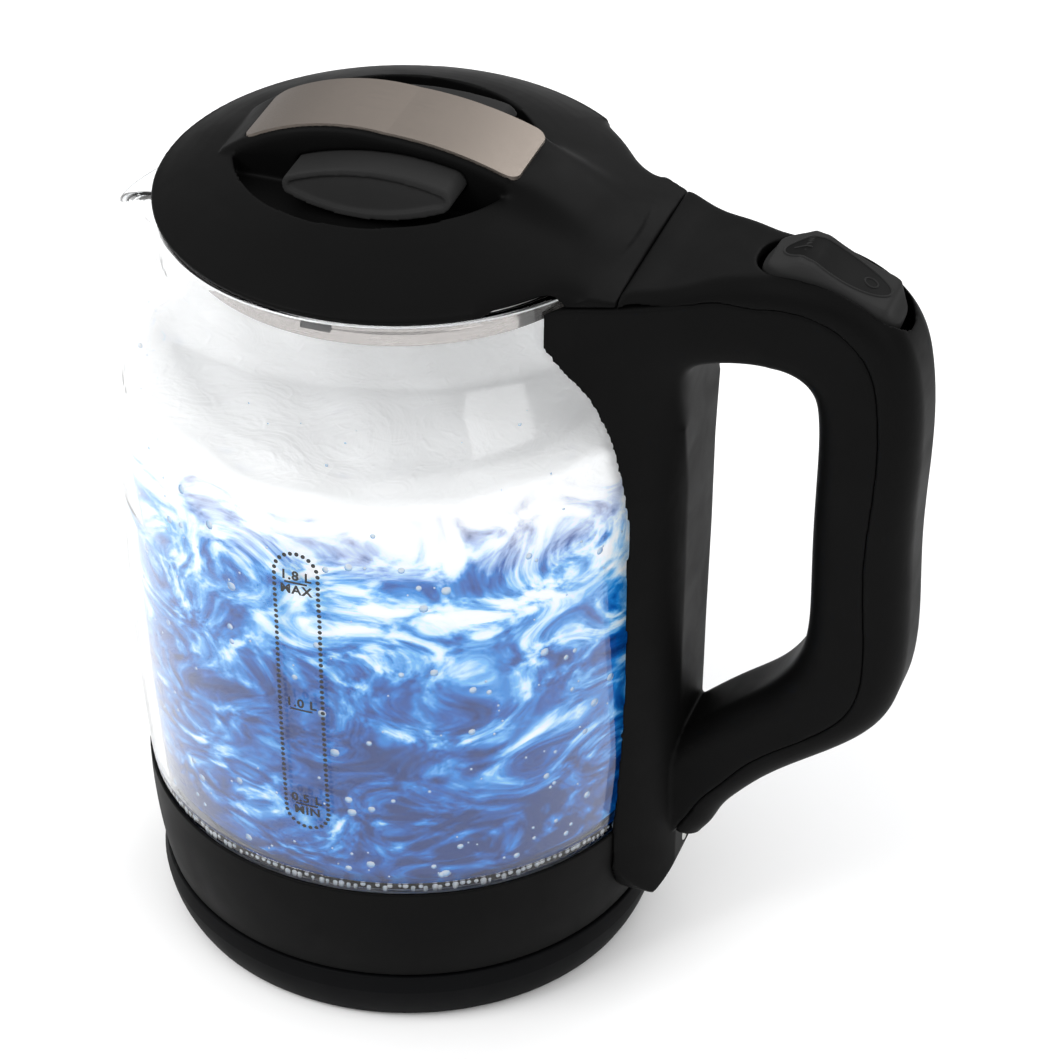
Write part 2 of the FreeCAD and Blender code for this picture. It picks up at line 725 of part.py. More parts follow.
def spout_section(name, x, half, low, top, inset, lift):
    """A D-shaped section of the spout across the pouring direction, open side up and lifted."""
    sketch = document.addObject("Sketcher::SketchObject", name)
    half, low, top = as_size(half) - inset, as_size(low) + inset, as_size(top)
    bend = low + (top - low) * 0.3
    outline = [
        (half, top), (half * 0.78, bend), (0, low, half * -0.95), (-(half * 0.78), bend, half * -0.95), (-half, top),
    ]
    if lift:
        outline += [(-half, top + lift), (half, top + lift)]
    draw_outline(sketch, outline)
    x = as_size(x)
    sketch.Placement = FreeCAD.Placement(Vector(x.value, 0, 0),
                                         FreeCAD.Rotation(Vector(0, 1, 0), UP, Vector(1, 0, 0)))
    bind(sketch, "Placement.Base.x", x)
    return sketch


def spout_loft(name, inset, lift):
    """The spout's filled form, from inside the neck to its tip, less the inset all round."""
    return loft(name, [
        spout_section(name + "_root", -52.0, 25.0, 186.0 + inset * 2.0, D.glass_rim, inset, lift),
        spout_section(name + "_neck", -62.0, 19.0, 196.0 + inset, 226.0, inset, lift),
        spout_section(name + "_throat", -73.0, 8.8, 203.2 + inset * 0.4, 217.7, inset, lift),
        spout_section(name + "_lip", -D.spout_reach - inset * 0.1, 4.6, 206.6 + inset * 0.1, D.spout_tip,
                      inset * 0.8, lift),
    ])


def glass_jug():
    """The glass: a barrel with a narrower neck and a drawn spout."""
    outer, inner = glass_outline(0)
    barrel = turned("glass_barrel", outer + inner)
    neck = D.glass_neck_radius - D.glass_wall
    hollow = turned("glass_hollow", [(0, D.glass_bottom - 5.0)] + backwards(inner[3:]) +
                    [(neck, D.glass_rim + 5.0), (0, D.glass_rim + 5.0)])
    spout = cut("spout_wall", spout_loft("spout_form", 0, 0), hollow)
    channel = spout_loft("spout_channel", D.glass_wall, 10.0)
    return node("glass_jug", cut("glass_jug", fuse("glass_with_spout", barrel, spout), channel))


# ---------------------------------------------------------------- handle

# Sections of the handle across its length, from the lid's seam over the grip to the lower end:
# inner edge (x, z), outer edge (x, z), half width, corner radius, depth of the outer shell.
HANDLE_SECTIONS = [
    ((70.0, 206.0), (70.0, 228.3), 30.0, 3.6, 2.9),
    ((78.0, 205.0), (78.0, 228.7), 25.6, 4.2, 3.4),
    ((86.0, 204.2), (86.0, 229.6), 21.8, 5.0, 4.4),
    ((95.0, 203.8), (95.5, 231.2), 17.8, 6.0, 6.0),
    ((105.0, 203.2), (109.0, 232.0), 14.8, 7.0, 8.0),
    ((111.8, 201.0), (126.5, 229.4), 13.9, 8.0, 9.6),
    ((116.2, 196.6), (139.3, 219.2), 13.4, 8.0, 11.0),
    ((117.8, 189.0), (144.8, 202.5), 13.3, 8.5, 11.0),
    ((118.0, 160.0), (145.2, 160.0), 13.3, 8.5, 10.8),
    ((118.2, 124.0), (145.7, 119.0), 13.3, 8.5, 10.5),
    ((116.4, 112.5), (143.0, 101.5), 13.3, 8.0, 9.6),
    ((111.0, 102.5), (134.6, 88.6), 13.4, 8.0, 8.8),
    ((103.0, 94.2), (120.5, 77.4), 13.6, 7.5, 8.2),
    ((92.0, 85.0), (107.0, 66.4), 13.8, 7.0, 7.4),
    ((82.0, 75.5), (98.3, 56.4), 13.8, 7.0, 6.8),
    ((77.0, 64.5), (94.8, 50.0), 13.5, 6.5, 7.0),
    ((76.0, 54.5), (92.6, 46.0), 13.0, 6.0, 6.8),
    ((77.5, 46.0), (90.4, 42.6), 12.2, 5.5, 6.2),
]


def across_handle(sketch, section):
    """Puts a sketch across the handle: its first axis runs from the inner to the outer edge."""
    inner, outer = section[0], section[1]
    turn = math.degrees(math.atan2(outer[1] - inner[1], outer[0] - inner[0]))
    rotation = FreeCAD.Rotation(Vector(0, 1, 0), -turn)
    sketch.Placement = FreeCAD.Placement(Vector(inner[0], 0, inner[1]), rotation)
    return sketch


def section_depth(section):
    return math.dist(section[0], section[1])


def handle_section(name, section, inset=0):
    """A rounded rectangle across the handle, shrunk by the inset."""
    half, corner = section[2], section[3]
    inset = as_size(inset)
    low, high = inset, section_depth(section) - inset
    side, turn = half - inset, corner - inset
    sketch = document.addObject("Sketcher::SketchObject", name)
    draw_outline(sketch, [
        (high - turn, -side), (high, turn - side, turn), (high, side - turn), (high - turn, side, turn),
        (low + turn, side), (low, side - turn, turn), (low, turn - side), (low + turn, -side, turn),
    ])
    return across_handle(sketch, section)


def parting_section(name, section):
    """A wide rectangle that ends at the parting line between the inner and the outer shell."""
    sketch = document.addObject("Sketcher::SketchObject", name)
    low, high, side = -3.0, section_depth(section) - section[4], 45.0
    draw_outline(sketch, [(high, -side), (high, side), (low, side), (low, -side)])
    return across_handle(sketch, section)


def handle_loft(name, sections, inset=0):
    return loft(name, [handle_section("%s_%d" % (name, number), section, inset)
                       for number, section in enumerate(sections)])


def parting_loft(name):
    return loft(name, [parting_section("%s_%d" % (name, number), section)
                       for number, section in enumerate(HANDLE_SECTIONS)])


def strap_section(name, z, front_x, front_half, side_x, side_half, rear_x, rear_half, bulge):
    """A level section of the strap: wide at the glass, narrow and rounded at the back."""
    sketch = document.addObject("Sketcher::SketchObject", name)
    draw_outline(sketch, [
        (front_x, front_half), (front_x, -front_half), (side_x, -side_half),
        (rear_x, -rear_half, bulge), (rear_x, rear_half), (side_x, side_half, bulge),
    ])
    sketch.Placement = FreeCAD.Placement(Vector(0, 0, z), FreeCAD.Rotation())
    return sketch


# Level sections of the strap: height, front edge (x, half width), where the edge leaves the glass
# (x, half width), back (x, half width), radius of the flanks.
STRAP_SECTIONS = [
    (14.0, 55.0, 25.4, 70.8, 25.4, 84.0, 10.5, 28.0),
    (44.0, 55.0, 26.0, 71.1, 26.0, 84.0, 10.5, 28.0),
    (74.0, 55.0, 26.7, 72.2, 26.7, 84.1, 10.7, 28.0),
    (104.0, 55.0, 27.5, 73.3, 27.5, 84.3, 11.0, 28.0),
    (134.0, 55.0, 28.3, 74.0, 28.3, 84.7, 11.4, 28.0),
    (164.0, 55.0, 29.2, 73.1, 29.2, 84.8, 12.0, 30.0),
    (194.0, 53.0, 33.0, 66.0, 31.2, 84.6, 17.0, 45.0),
    (212.0, 46.0, 41.5, 59.8, 33.4, 86.0, 21.4, 80.0),
    (228.0, 44.0, 44.0, 60.0, 33.5, 86.0, 21.8, 80.0),
]


def strap_form():
    """The strap's outside, with a rounded lower end, before the glass and the handle are cut out."""
    levels = loft("strap_levels", [strap_section("strap_level_%d" % number, *section)
                                   for number, section in enumerate(STRAP_SECTIONS)])
    levels.Ruled = True
    side_view = side_slab("strap_side_view", 60.0, [[
        (50.0, 18.2), (71.0, 18.2), (84.6, 34.3, 20.0), (90.0, 40.0), (90.0, D.step_z), (40.0, D.step_z),
        (40.0, 100.0),
    ]])
    toe = cross_slab("strap_toe_view", 0.0, 120.0, [
        (26.5, 42.0, 26.5), (60.0, 60.0), (60.0, 240.0), (-60.0, 240.0), (-60.0, 60.0), (-26.5, 42.0),
        (0, 17.8, 26.5),
    ])
    return common("strap_rounded", common("strap_trimmed", levels, side_view), toe)


def body_of_jug():
    """The outside of the glass and the collar, enlarged a little, to cut the strap to their shape."""
    glass = glass_solid("glass_for_strap", 0.3)
    foot = turned("collar_for_strap", [
        (0, 10.0), (D.collar_bottom_radius + 0.1, 10.0), (D.collar_bottom_radius + 0.1, D.collar_bottom),
        (D.collar_middle_radius + 0.1, 34.0, 120.0), (D.collar_top_radius + 0.1, D.collar_top + 0.4, 160.0),
        (0, D.collar_top + 0.4),
    ])
    neck = cylinder("neck_for_strap", D.glass_neck_radius + 0.3, 20.0, 0, 0, 212.0)
    return fuse("jug_for_strap", glass, foot, neck)


def handle_strap(form):
    """The front of the handle, which hugs the glass from the collar to the lid."""
    lead_channel = box("lead_channel", (79.7, -4.5, 28.0), (82.3, 4.5, 214.0))
    lead_mouth = box("lead_mouth", (70.0, -4.5, 28.0), (82.3, 4.5, 31.0))
    lead_top = box("lead_top", (79.7, -4.5, 210.6), (90.0, 4.5, 214.0))
    screw_hole = cylinder("strap_screw_hole", 1.6, 30.0, 60.0, 0, 35.0, (1, 0, 0))
    screw_seat = cylinder("strap_screw_seat", 3.2, 10.0, 81.6, 0, 35.0, (1, 0, 0))
    body = cut("strap_body", strap_form(), body_of_jug(), form)
    front = common("strap_front", body, box("strap_side_of_joint", (30.0, -60.0, 0), (86.0, 60.0, D.step_z)))
    return node("handle_strap", cut("handle_strap", front, lead_channel, lead_mouth, lead_top, screw_hole,
                                    screw_seat))


# Seats of the two screws that hold the shells together under the lid's seam; the lower end clips.
HANDLE_SCREWS = [(93.0, -8.5, 206.8), (93.0, 8.5, 206.8)]


def build_handle():
    """The strap and the two shells of the handle, which meet along a parting line on its sides."""
    form = handle_loft("handle_form", HANDLE_SECTIONS)
    parting = parting_loft("handle_parting")
    lower_form = common("handle_lower_form", form, box("lower_zone", (60.0, -30.0, 30.0), (130.0, 30.0, 100.0)))
    handle_strap(lower_form)
    strap_zone = box("shell_front_limit", (60.0, -60.0, 190.0), (86.0, 60.0, 240.0))
    hollow = handle_loft("handle_hollow", HANDLE_SECTIONS[3:-2], D.grip_wall)
    lead_holes = [box("lead_hole_in_shell", (84.0, -4.5, 210.6), (98.0, 4.5, 214.0)),
                  box("lead_slot_in_shell", (79.4, -4.5, 40.0), (82.6, 4.5, 80.0))]
    seats = []
    holes = []
    for number, (x, y, z) in enumerate(HANDLE_SCREWS):
        seats.append(cylinder("handle_screw_seat_%d" % number, 3.0, 12.0, x, y, z - 12.0))
        holes.append(cylinder("handle_screw_hole_%d" % number, 1.5, 17.0, x, y, z))
    node("handle_inner_shell", cut("handle_inner_shell", common("inner_side", form, parting), hollow,
                                   strap_zone, *lead_holes, *seats, *holes))
    cheeks = []
    for side in (-1, 1):
        cheeks.append(box("rocker_cheek_%d" % side, (116.5, side * 10.65 - 0.65, 217.0),
                          (123.5, side * 10.65 + 0.65, 226.0)))
        cheeks.append(box("cheek_root_%d" % side, (116.5, side * 11.4 - 1.4, D.rocker_z + 1.6),
                          (123.5, side * 11.4 + 1.4, 226.0)))
    pin_hole = cylinder("rocker_pin_hole", D.rocker_pin_radius + 0.05, 24.0, D.rocker_x, 12.0, D.rocker_z,
                        (0, -1, 0))
    outer = cut("outer_side_hollow", cut("outer_side", form, parting), hollow, rocker_opening())
    with_cheeks = fuse("outer_with_cheeks", outer, common("cheeks_in_handle", fuse("rocker_cheeks", *cheeks), form))
    node("handle_outer_shell", cut("handle_outer_shell", with_cheeks, pin_hole, *holes))


def handle_screws():
    screws = [screw("handle_screw_%d" % number, x, y, z - 2.0, 18.0, head=2.7, shank=1.4)
              for number, (x, y, z) in enumerate(HANDLE_SCREWS)]
    return node("handle_screws", group("handle_screws", screws))


def rocker_opening():
    """The opening for the rocker switch in the outer shell."""
    half = D.rocker_half + 0.8
    outline = side_slab("rocker_opening_form", half, [[
        (98.4, 216.0), (139.6, 212.0), (139.6, 240.0), (98.4, 240.0),
    ]])
    return rounded("rocker_opening", outline, 8.6, is_steep)


def is_steep(edge):
    """True for straight edges that run mostly up and down."""
    if len(edge.Vertexes) < 2:
        return False
    run = edge.Vertexes[1].Point - edge.Vertexes[0].Point
    return abs(run.z) > 2.0 * math.hypot(run.x, run.y)


def strap_screw():
    """The screw at the foot of the handle, which fixes the strap to the collar."""
    head = cylinder("strap_screw_head", 3.0, 2.0, 81.7, 0, 35.0, (1, 0, 0))
    socket = cylinder("strap_screw_socket", 1.2, 1.2, 82.6, 0, 35.0, (1, 0, 0))
    shank = cylinder("strap_screw_shank", 1.4, 16.0, 66.0, 0, 35.0, (1, 0, 0))
    return node("strap_screw", cut("strap_screw", fuse("strap_screw_solid", head, shank), socket))


# ---------------------------------------------------------------- switch

def rocker_switch():
    """The rocker: a long button that tilts about its pin, raised at the front."""
    x, z = D.rocker_x, D.rocker_z
    top = side_slab("rocker_form", D.rocker_half, [[
        (x - 20.8, z + 1.0), (x - 20.2, z + 8.4), (x - 17.8, z + 11.4, 3.4), (x - 9.0, z + 14.5, 26.0),
        (x - 5.6, z + 13.9, 7.0), (x + 14.6, z + 4.4, 90.0), (x + 17.8, z - 0.6, 6.0), (x + 16.4, z - 5.5),
        (x + 6.0, z - 2.4), (x - 6.0, z - 2.4),
    ]])
    hub = cylinder("rocker_hub", 3.4, 10.0, x, 5.0, z, (0, -1, 0))
    rounded_top = rounded("rocker_rounded", top, 7.8, is_steep)
    bore = cylinder("rocker_bore", D.rocker_pin_radius + 0.05, 24.0, x, 12.0, z, (0, -1, 0))
    return node("rocker_switch", cut("rocker_switch", fuse("rocker_solid", rounded_top, hub), bore))


def rocker_pin():
    return node("rocker_pin", cylinder("rocker_pin", D.rocker_pin_radius, 22.0, D.rocker_x, 11.0,
                                       D.rocker_z, (0, -1, 0)))


LEVER_PIVOT = (110.0, 215.8)
LEVER_PIN = 1.2


def steam_switch_housing():
    """The tray inside the handle that carries the lever, the contacts and the steam blade."""
    x, z = LEVER_PIVOT
    tray = box("switch_tray", (100.0, -9.0, 206.5), (124.0, 9.0, 213.0))
    inside = box("switch_tray_inside", (101.5, -7.5, 208.0), (122.5, 7.5, 214.0))
    ears = [box("switch_ear_%d" % side, (x - 2.5, side * 8.25 - 0.75, 210.0), (x + 2.5, side * 8.25 + 0.75, z + 1.8))
            for side in (-1, 1)]
    cheeks = [box("blade_cheek_%d" % side, (97.6, side * 8.1 - 0.9, 206.5), (100.0, side * 8.1 + 0.9, 210.8))
              for side in (-1, 1)]
    notch = box("lead_notch", (99.0, -4.0, 210.9), (102.0, 4.0, 214.0))
    bore = cylinder("lever_bore", LEVER_PIN + 0.05, 20.0, x, 10.0, z, (0, -1, 0))
    return node("steam_switch_housing", cut("steam_switch_housing",
                                            fuse("switch_tray_solid", tray, *ears, *cheeks), inside, notch, bore))


def steam_bimetal():
    """The bimetal blade that snaps over when steam reaches it."""
    return node("steam_bimetal", box("steam_bimetal", (98.4, -7.1, 206.9), (99.0, 7.1, 210.6)))


def trip_lever():
    """The lever between the rocker and the blade; it tips as the rocker tips."""
    x, z = LEVER_PIVOT
    bar = box("lever_bar", (x - 9.0, -4.0, z - 0.8), (x + 8.0, 4.0, z + 0.8))
    pin = cylinder("lever_pin", LEVER_PIN, 17.6, x, 8.8, z, (0, -1, 0))
    return node("trip_lever", fuse("trip_lever", bar, pin))


def switch_contacts():
    """Two leaf contacts on the floor of the switch housing, each with an upright tab for its lead."""
    leaves = []
    for side in (-1, 1):
        leaf = box("contact_leaf_%d" % side, (103.0, side * 3.0 - 1.5, 208.0), (119.0, side * 3.0 + 1.5, 208.5))
        tab = box("contact_tab_%d" % side, (103.0, side * 2.6 - 1.1, 208.0), (103.6, side * 2.6 + 1.1, 213.0))
        rivet = cylinder("contact_rivet_%d" % side, 1.2, 1.4, 117.0, side * 3.0, 208.0)
        leaves.append(fuse("contact_%d" % side, leaf, tab, rivet))
    return node("switch_contacts", group("switch_contacts", leaves))


def lead_wires():
    """The two wires from the control, up the strap's channel, to the switch contacts."""
    wires = []
    for side in (-1, 1):
        y = side * 2.7
        wires.append(pipe("lead_wire_%d" % side, 0.9, [
            (22.4, side * 9.0, 37.7), (50.0, y, 31.5), (60.0, y, 29.5), (80.7, y, 29.5), (80.7, y, 212.3),
            (102.9, y, 212.3),
        ]))
    return node("lead_wires", group("lead_wires", wires))


# ---------------------------------------------------------------- lid

LID_WALL = 2.2
BRIDGE_FRONT = -46.0
BRIDGE_REAR = 60.0
BRIDGE_CREST = 1.0
TRIM_CORNER = 3.6
RECESS_X = -4.0
FLANGE_RADIUS = 62.3
FLANGE_TOP = 230.2

# The two arcs of the bridge's crown line: centre (x, z) and radius.
FRONT_ARC = (-5.4, 189.9, 64.0)
REAR_ARC = (-0.4, 153.6, 100.0)

# Sections of the lid's tail, which reaches back to the handle: x, half width, height of its edges and
# of its middle.
TAIL_SECTIONS = [
    (48.0, 38.4, 230.0, 237.4),
    (56.4, 34.7, 229.4, 234.0),
    (63.5, 32.1, 228.3, 230.9),
    (69.7, 29.9, 227.0, 228.3),
]


def dome_height(radius, depth=0):
    """Height of the dome, or of a surface a depth below it, at a distance from the axis."""
    sphere = D.dome_sphere.value
    return D.dome_top.value - sphere + math.sqrt((sphere - depth) ** 2 - radius ** 2)


def bridge_height(x, depth=0):
    """Height of the bridge's crown line, or of a line a depth below it."""
    centre_x, centre_z, radius = FRONT_ARC if x < BRIDGE_CREST else REAR_ARC
    return centre_z + math.sqrt((radius - depth) ** 2 - (x - centre_x) ** 2)


def bridge_outline(front, rear, depth, low):
    """Side view of the bridge, or of a form a depth below its surface, down to a height."""
    return [
        (front, low), (rear, low), (rear, bridge_height(rear, depth)),
        (BRIDGE_CREST, D.bridge_top - depth, REAR_ARC[2] - depth),
        (front, bridge_height(front, depth), FRONT_ARC[2] - depth),
    ]


def trim_form(name, play, above, below):
    """The curved plate on top of the bridge, from a depth below its surface to a height above."""
    front, rear = -39.5 - play, 36.5 + play
    plate = side_slab(name + "_form", D.trim_half + play, [[
        (front, bridge_height(front, below)),
        (BRIDGE_CREST, D.bridge_top - below, below - FRONT_ARC[2]),
        (rear, bridge_height(rear, below), below - REAR_ARC[2]),
        (rear, bridge_height(rear, -above)),
        (BRIDGE_CREST, D.bridge_top + above, REAR_ARC[2] + above),
        (front, bridge_height(front, -above), FRONT_ARC[2] + above),
    ]])
    half, turn = D.trim_half + play, TRIM_CORNER + play
    plan = slab(name + "_plan", 230.0, 262.0, outlines=[[
        (front + turn, -half, turn), (rear - turn, -half), (rear, turn - half, turn), (rear, half - turn),
        (rear - turn, half, turn), (front + turn, half), (front, half - turn, turn), (front, turn - half),
    ]])
    return common(name, plate, plan)


def lens_outline(grow=0):
    """Side view of a pinch button: a lens with rounded ends."""
    return [
        (-22.4 - grow * 0.7, 243.2 + grow * 0.7, 74.0 + grow),
        (-22.0 - grow * 0.7, 238.9 - grow * 0.7, 3.0 + grow),
        (20.0 + grow * 0.6, 240.5 - grow, 60.4 + grow), (23.5 + grow, 244.0, 4.5 + grow),
        (21.0 + grow * 0.5, 247.0 + grow, 4.5 + grow),
    ]


def tail_section(name, x, half, edge, middle):
    """A section of the tail: flat below, gently crowned above."""
    sketch = document.addObject("Sketcher::SketchObject", name)
    low = D.step_z + D.gap
    rise = middle - edge
    draw_outline(sketch, [
        (-half, low), (half, low), (half, edge), (-half, edge, (half ** 2 + rise ** 2) / (2 * rise)),
    ])
    sketch.Placement = FreeCAD.Placement(Vector(x, 0, 0),
                                         FreeCAD.Rotation(Vector(0, 1, 0), UP, Vector(1, 0, 0)))
    return sketch


def lid_screw_places():
    for front in (-1, 1):
        for side in (-1, 1):
            yield front * 41.6, side * 24.0, "%d_%d" % (front, side)


def lid_tail():
    """The part of the lid between the dome and the handle, cut clear of the glass below it."""
    form = loft("lid_tail_form", [tail_section("lid_tail_%d" % number, *section)
                                  for number, section in enumerate(TAIL_SECTIONS)])
    clear_of_glass = cylinder("tail_clear_of_glass", 65.0, D.lid_rim - 220.0, 0, 0, 220.0)
    clear_of_plug = cylinder("tail_clear_of_plug", FLANGE_RADIUS, FLANGE_TOP - 220.0, 0, 0, 220.0)
    return cut("lid_tail", form, clear_of_glass, clear_of_plug)


def lid_cavity():
    """The hollow under the dome and the bridge, which goes round the finger recesses."""
    cap = turned("lid_cavity_cap", [
        (0, FLANGE_TOP), (58.0, FLANGE_TOP), (56.0, dome_height(56.0, LID_WALL)),
        (0, D.dome_top - LID_WALL, D.dome_sphere - LID_WALL),
    ])
    recess_wall = cylinder("recess_wall", D.recess_radius + LID_WALL, 30.0, RECESS_X, 0,
                           D.recess_floor - LID_WALL)
    under_bridge = side_slab("bridge_cavity", D.bridge_half - LID_WALL,
                             [bridge_outline(-41.0, 50.0, LID_WALL, FLANGE_TOP)])
    return fuse("lid_cavity", cut("lid_cavity_round", cap, recess_wall), under_bridge)


def lid_cover():
    """The black cover: a shallow dome, two finger recesses, the bridge between them, and the tail."""
    dome = turned("lid_dome", [
        (0, FLANGE_TOP), (FLANGE_RADIUS, FLANGE_TOP), (FLANGE_RADIUS, D.lid_rim),
        (D.lid_radius - 1.3, D.lid_rim), (D.lid_radius, D.lid_rim + 1.6, 2.2),
        (64.6, dome_height(64.6), 1.0), (0, D.dome_top, D.dome_sphere),
    ])
    recess = cylinder("finger_recess", D.recess_radius, 30.0, RECESS_X, 0, D.recess_floor)
    bridge = rounded("lid_bridge", side_slab("lid_bridge_form", D.bridge_half, [
        bridge_outline(BRIDGE_FRONT, BRIDGE_REAR, 0, D.recess_floor - LID_WALL)]), 2.5, is_curved)
    openings = side_slab("button_openings", 16.0, [lens_outline(D.gap.value)])
    solid = fuse("lid_cover_solid", cut("lid_dome_with_recess", dome, recess), bridge, lid_tail())
    hollowed = cut("lid_cover_hollowed", solid, lid_cavity(), openings, trim_form("trim_seat", 0.1, 3.0, 0.75))
    bosses = [cylinder("lid_boss_" + place_name, 3.6, 6.8, x, y, FLANGE_TOP)
              for x, y, place_name in lid_screw_places()]
    rib = box("spring_rib", (-4.0, -1.0, 237.0), (4.0, 1.0, D.bridge_top - 1.5))
    holes = [cylinder("lid_boss_hole_" + place_name, 1.5, 6.4, x, y, FLANGE_TOP - 1.0)
             for x, y, place_name in lid_screw_places()]
    return node("lid_cover", cut("lid_cover", fuse("lid_cover_with_bosses", hollowed, rib, *bosses), *holes))


def is_curved(edge):
    return isinstance(edge.Curve, Part.Circle)


def lid_trim():
    return node("lid_trim", trim_form("lid_trim", 0, 0.3, 0.7))


def lid_plug():
    """The black cup under the cover, which goes down into the neck of the glass."""
    cup = turned("lid_cup", [
        (0, 216.6), (52.4, 216.6), (55.4, D.ring_bottom, 3.2), (55.4, D.ring_top), (57.5, D.ring_top),
        (57.5, D.lid_rim), (FLANGE_RADIUS - 0.2, D.lid_rim), (FLANGE_RADIUS - 0.2, FLANGE_TOP - 0.2),
        (44.0, FLANGE_TOP - 0.2), (44.0, D.lid_rim), (54.9, D.lid_rim), (54.9, 224.4), (53.0, 222.0),
        (53.0, 218.6), (0, 218.6),
    ])
    slot = box("tongue_slot", (-6.4, -60.0, D.ring_top), (6.4, 60.0, D.ring_top + 2.6))
    holes = [cylinder("plug_hole_" + place_name, 1.6, 4.0, x, y, 227.0) for x, y, place_name in lid_screw_places()]
    return node("lid_plug", cut("lid_plug", cup, slot, *holes))


def lid_ring():
    low, high, outer = D.ring_bottom, D.ring_top, D.ring_radius
    return node("lid_ring", turned("lid_ring", [
        (55.4, low), (outer - 0.5, low), (outer, low + 0.5, 0.5), (outer, high - 0.5),
        (outer - 0.5, high, 0.5), (55.4, high),
    ]))


def lid_seal():
    """The soft ring with a rounded edge that fills the gap to the glass."""
    return node("lid_seal", turned("lid_seal", [
        (57.5, 226.0), (59.0, 226.0), (59.0, 228.0, 1.08), (57.5, 228.0),
    ]))


def lid_screws():
    screws = [screw("lid_screw_" + place_name, x, y, D.lid_rim - 2.0, 9.0, head=2.6, shank=1.4)
              for x, y, place_name in lid_screw_places()]
    return node("lid_screws", group("lid_screws", screws))


# ---------------------------------------------------------------- pinch buttons

BUTTON_BACK = -12.0
ARM_FACE = -11.0
ARM_BACK = -8.5
SPRING_HEIGHT = 241.0


def button_face_wedge(name, depth):
    """What lies in front of the button's leaning face, or of a face a depth behind it."""
    low = -D.button_face.value - 0.9 + depth
    return cross_slab(name, -30.0, 30.0, [
        (low, 235.0), (low + 3.9, 248.5), (low + 3.9, 252.0), (-40.0, 252.0), (-40.0, 235.0),
    ])


def pinch_button():
    """The front pinch button: a lens with a sunk face, a stem and a peg for its latch arm."""
    front = -D.button_face.value - 0.9
    body = common("button_body", side_slab("button_lens", 40.0, [lens_outline()]),
                  box("button_depth", (-30.0, front, 230.0), (30.0, BUTTON_BACK, 252.0)))
    sunk = common("button_sunk", side_slab("button_sunk_lens", 40.0, [lens_outline(-1.8)]),
                  button_face_wedge("button_sunk_wedge", 0.8))
    stem = box("button_stem", (-12.0, BUTTON_BACK, 238.0), (12.0, ARM_FACE, 245.0))
    peg = cylinder("button_peg", 1.5, ARM_BACK - ARM_FACE, 0, ARM_FACE, SPRING_HEIGHT, (0, 1, 0))
    faced = cut("button_faced", body, button_face_wedge("button_wedge", 0), sunk)
    return fuse("pinch_button_front", faced, stem, peg)


def latch_arm():
    """The front latch arm: a post behind the button and a tongue that reaches under the glass bead."""
    low = D.ring_top + 0.3
    post = box("latch_post", (-5.0, ARM_FACE, low), (5.0, ARM_BACK, 244.5))
    tongue = box("latch_tongue", (-4.0, -59.6, low), (4.0, ARM_BACK, low + 1.9))
    hole = cylinder("latch_hole", 1.5, 6.0, 0, -12.0, SPRING_HEIGHT, (0, 1, 0))
    return cut("latch_arm_front", fuse("latch_arm_solid", post, tongue), hole)


def latch_spring():
    """The front coil spring, between the latch arm and the rib in the middle of the lid."""
    coil, wire_radius = 3.0, 0.4
    free_length = -1.0 - ARM_BACK
    helix = document.addObject("Part::Helix", "spring_helix")
    helix.Radius, helix.Pitch, helix.Height = coil, 1.5, free_length - 2.2 * wire_radius
    wire = document.addObject("Part::Circle", "spring_wire")
    wire.Radius = wire_radius
    wire.Placement = FreeCAD.Placement(Vector(coil, 0, 0), FreeCAD.Rotation(UP, Vector(0, 1, 0)))
    spring = document.addObject("Part::Sweep", "spring_sweep")
    spring.Sections = [wire]
    spring.Spine = (helix, ["Edge1"])
    spring.Solid = True
    spring.Frenet = True
    turn = FreeCAD.Rotation(UP, Vector(0, 1, 0))
    start = ARM_BACK + 1.1 * wire_radius
    spring.Placement = FreeCAD.Placement(Vector(0, start, SPRING_HEIGHT), turn)
    return spring


def pinch_pair(front, stem):
    """Registers a piece of the front pinch button and its mirror image at the rear."""
    node(stem + "_front", front)
    node(stem + "_rear", mirrored(stem + "_rear", front))


# ---------------------------------------------------------------- finishing

def check_and_write():
    document.recompute()
    troubled = [item.Label for item in document.Objects if "Invalid" in item.State or "Error" in item.State]
    if troubled:
        raise RuntimeError("objects that failed: " + ", ".join(troubled))
    os.makedirs("parts", exist_ok=True)
    for piece in NODES:
        if piece.Shape.isNull() or not piece.Shape.isValid():
            raise RuntimeError("not a valid solid: " + piece.Label)
        piece.Shape.exportStep(os.path.join("parts", piece.Label + ".step"))
        print(piece.Label, len(piece.Shape.Solids), round(piece.Shape.Volume))


def build():
    base_cover()
    base_plate()
    rubber_feet()
    base_screws()
    base_connector()
    base_contacts()
    cord_grommet()
    cord_clamp()
    collar()
    under_cover()
    under_cover_screws()
    heating_plate()
    plate_clamp_ring()
    jug_seal()
    heat_spreader()
    heating_element()
    control_body()
    control_contacts()
    dry_boil_discs()
    control_studs()
    lamp_board()
    lamps()
    glass_jug()
    build_handle()
    strap_screw()
    handle_screws()
    rocker_switch()
    rocker_pin()
    steam_switch_housing()
    steam_bimetal()
    trip_lever()
    switch_contacts()
    lead_wires()
    lid_cover()
    lid_trim()
    lid_plug()
    lid_ring()
    lid_seal()
    lid_screws()
    pinch_pair(pinch_button(), "pinch_button")
    pinch_pair(latch_arm(), "latch_arm")
    pinch_pair(latch_spring(), "latch_spring")


build()
check_and_write()
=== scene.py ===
import json
import math
import random

import bpy
from mathutils import Matrix, Vector


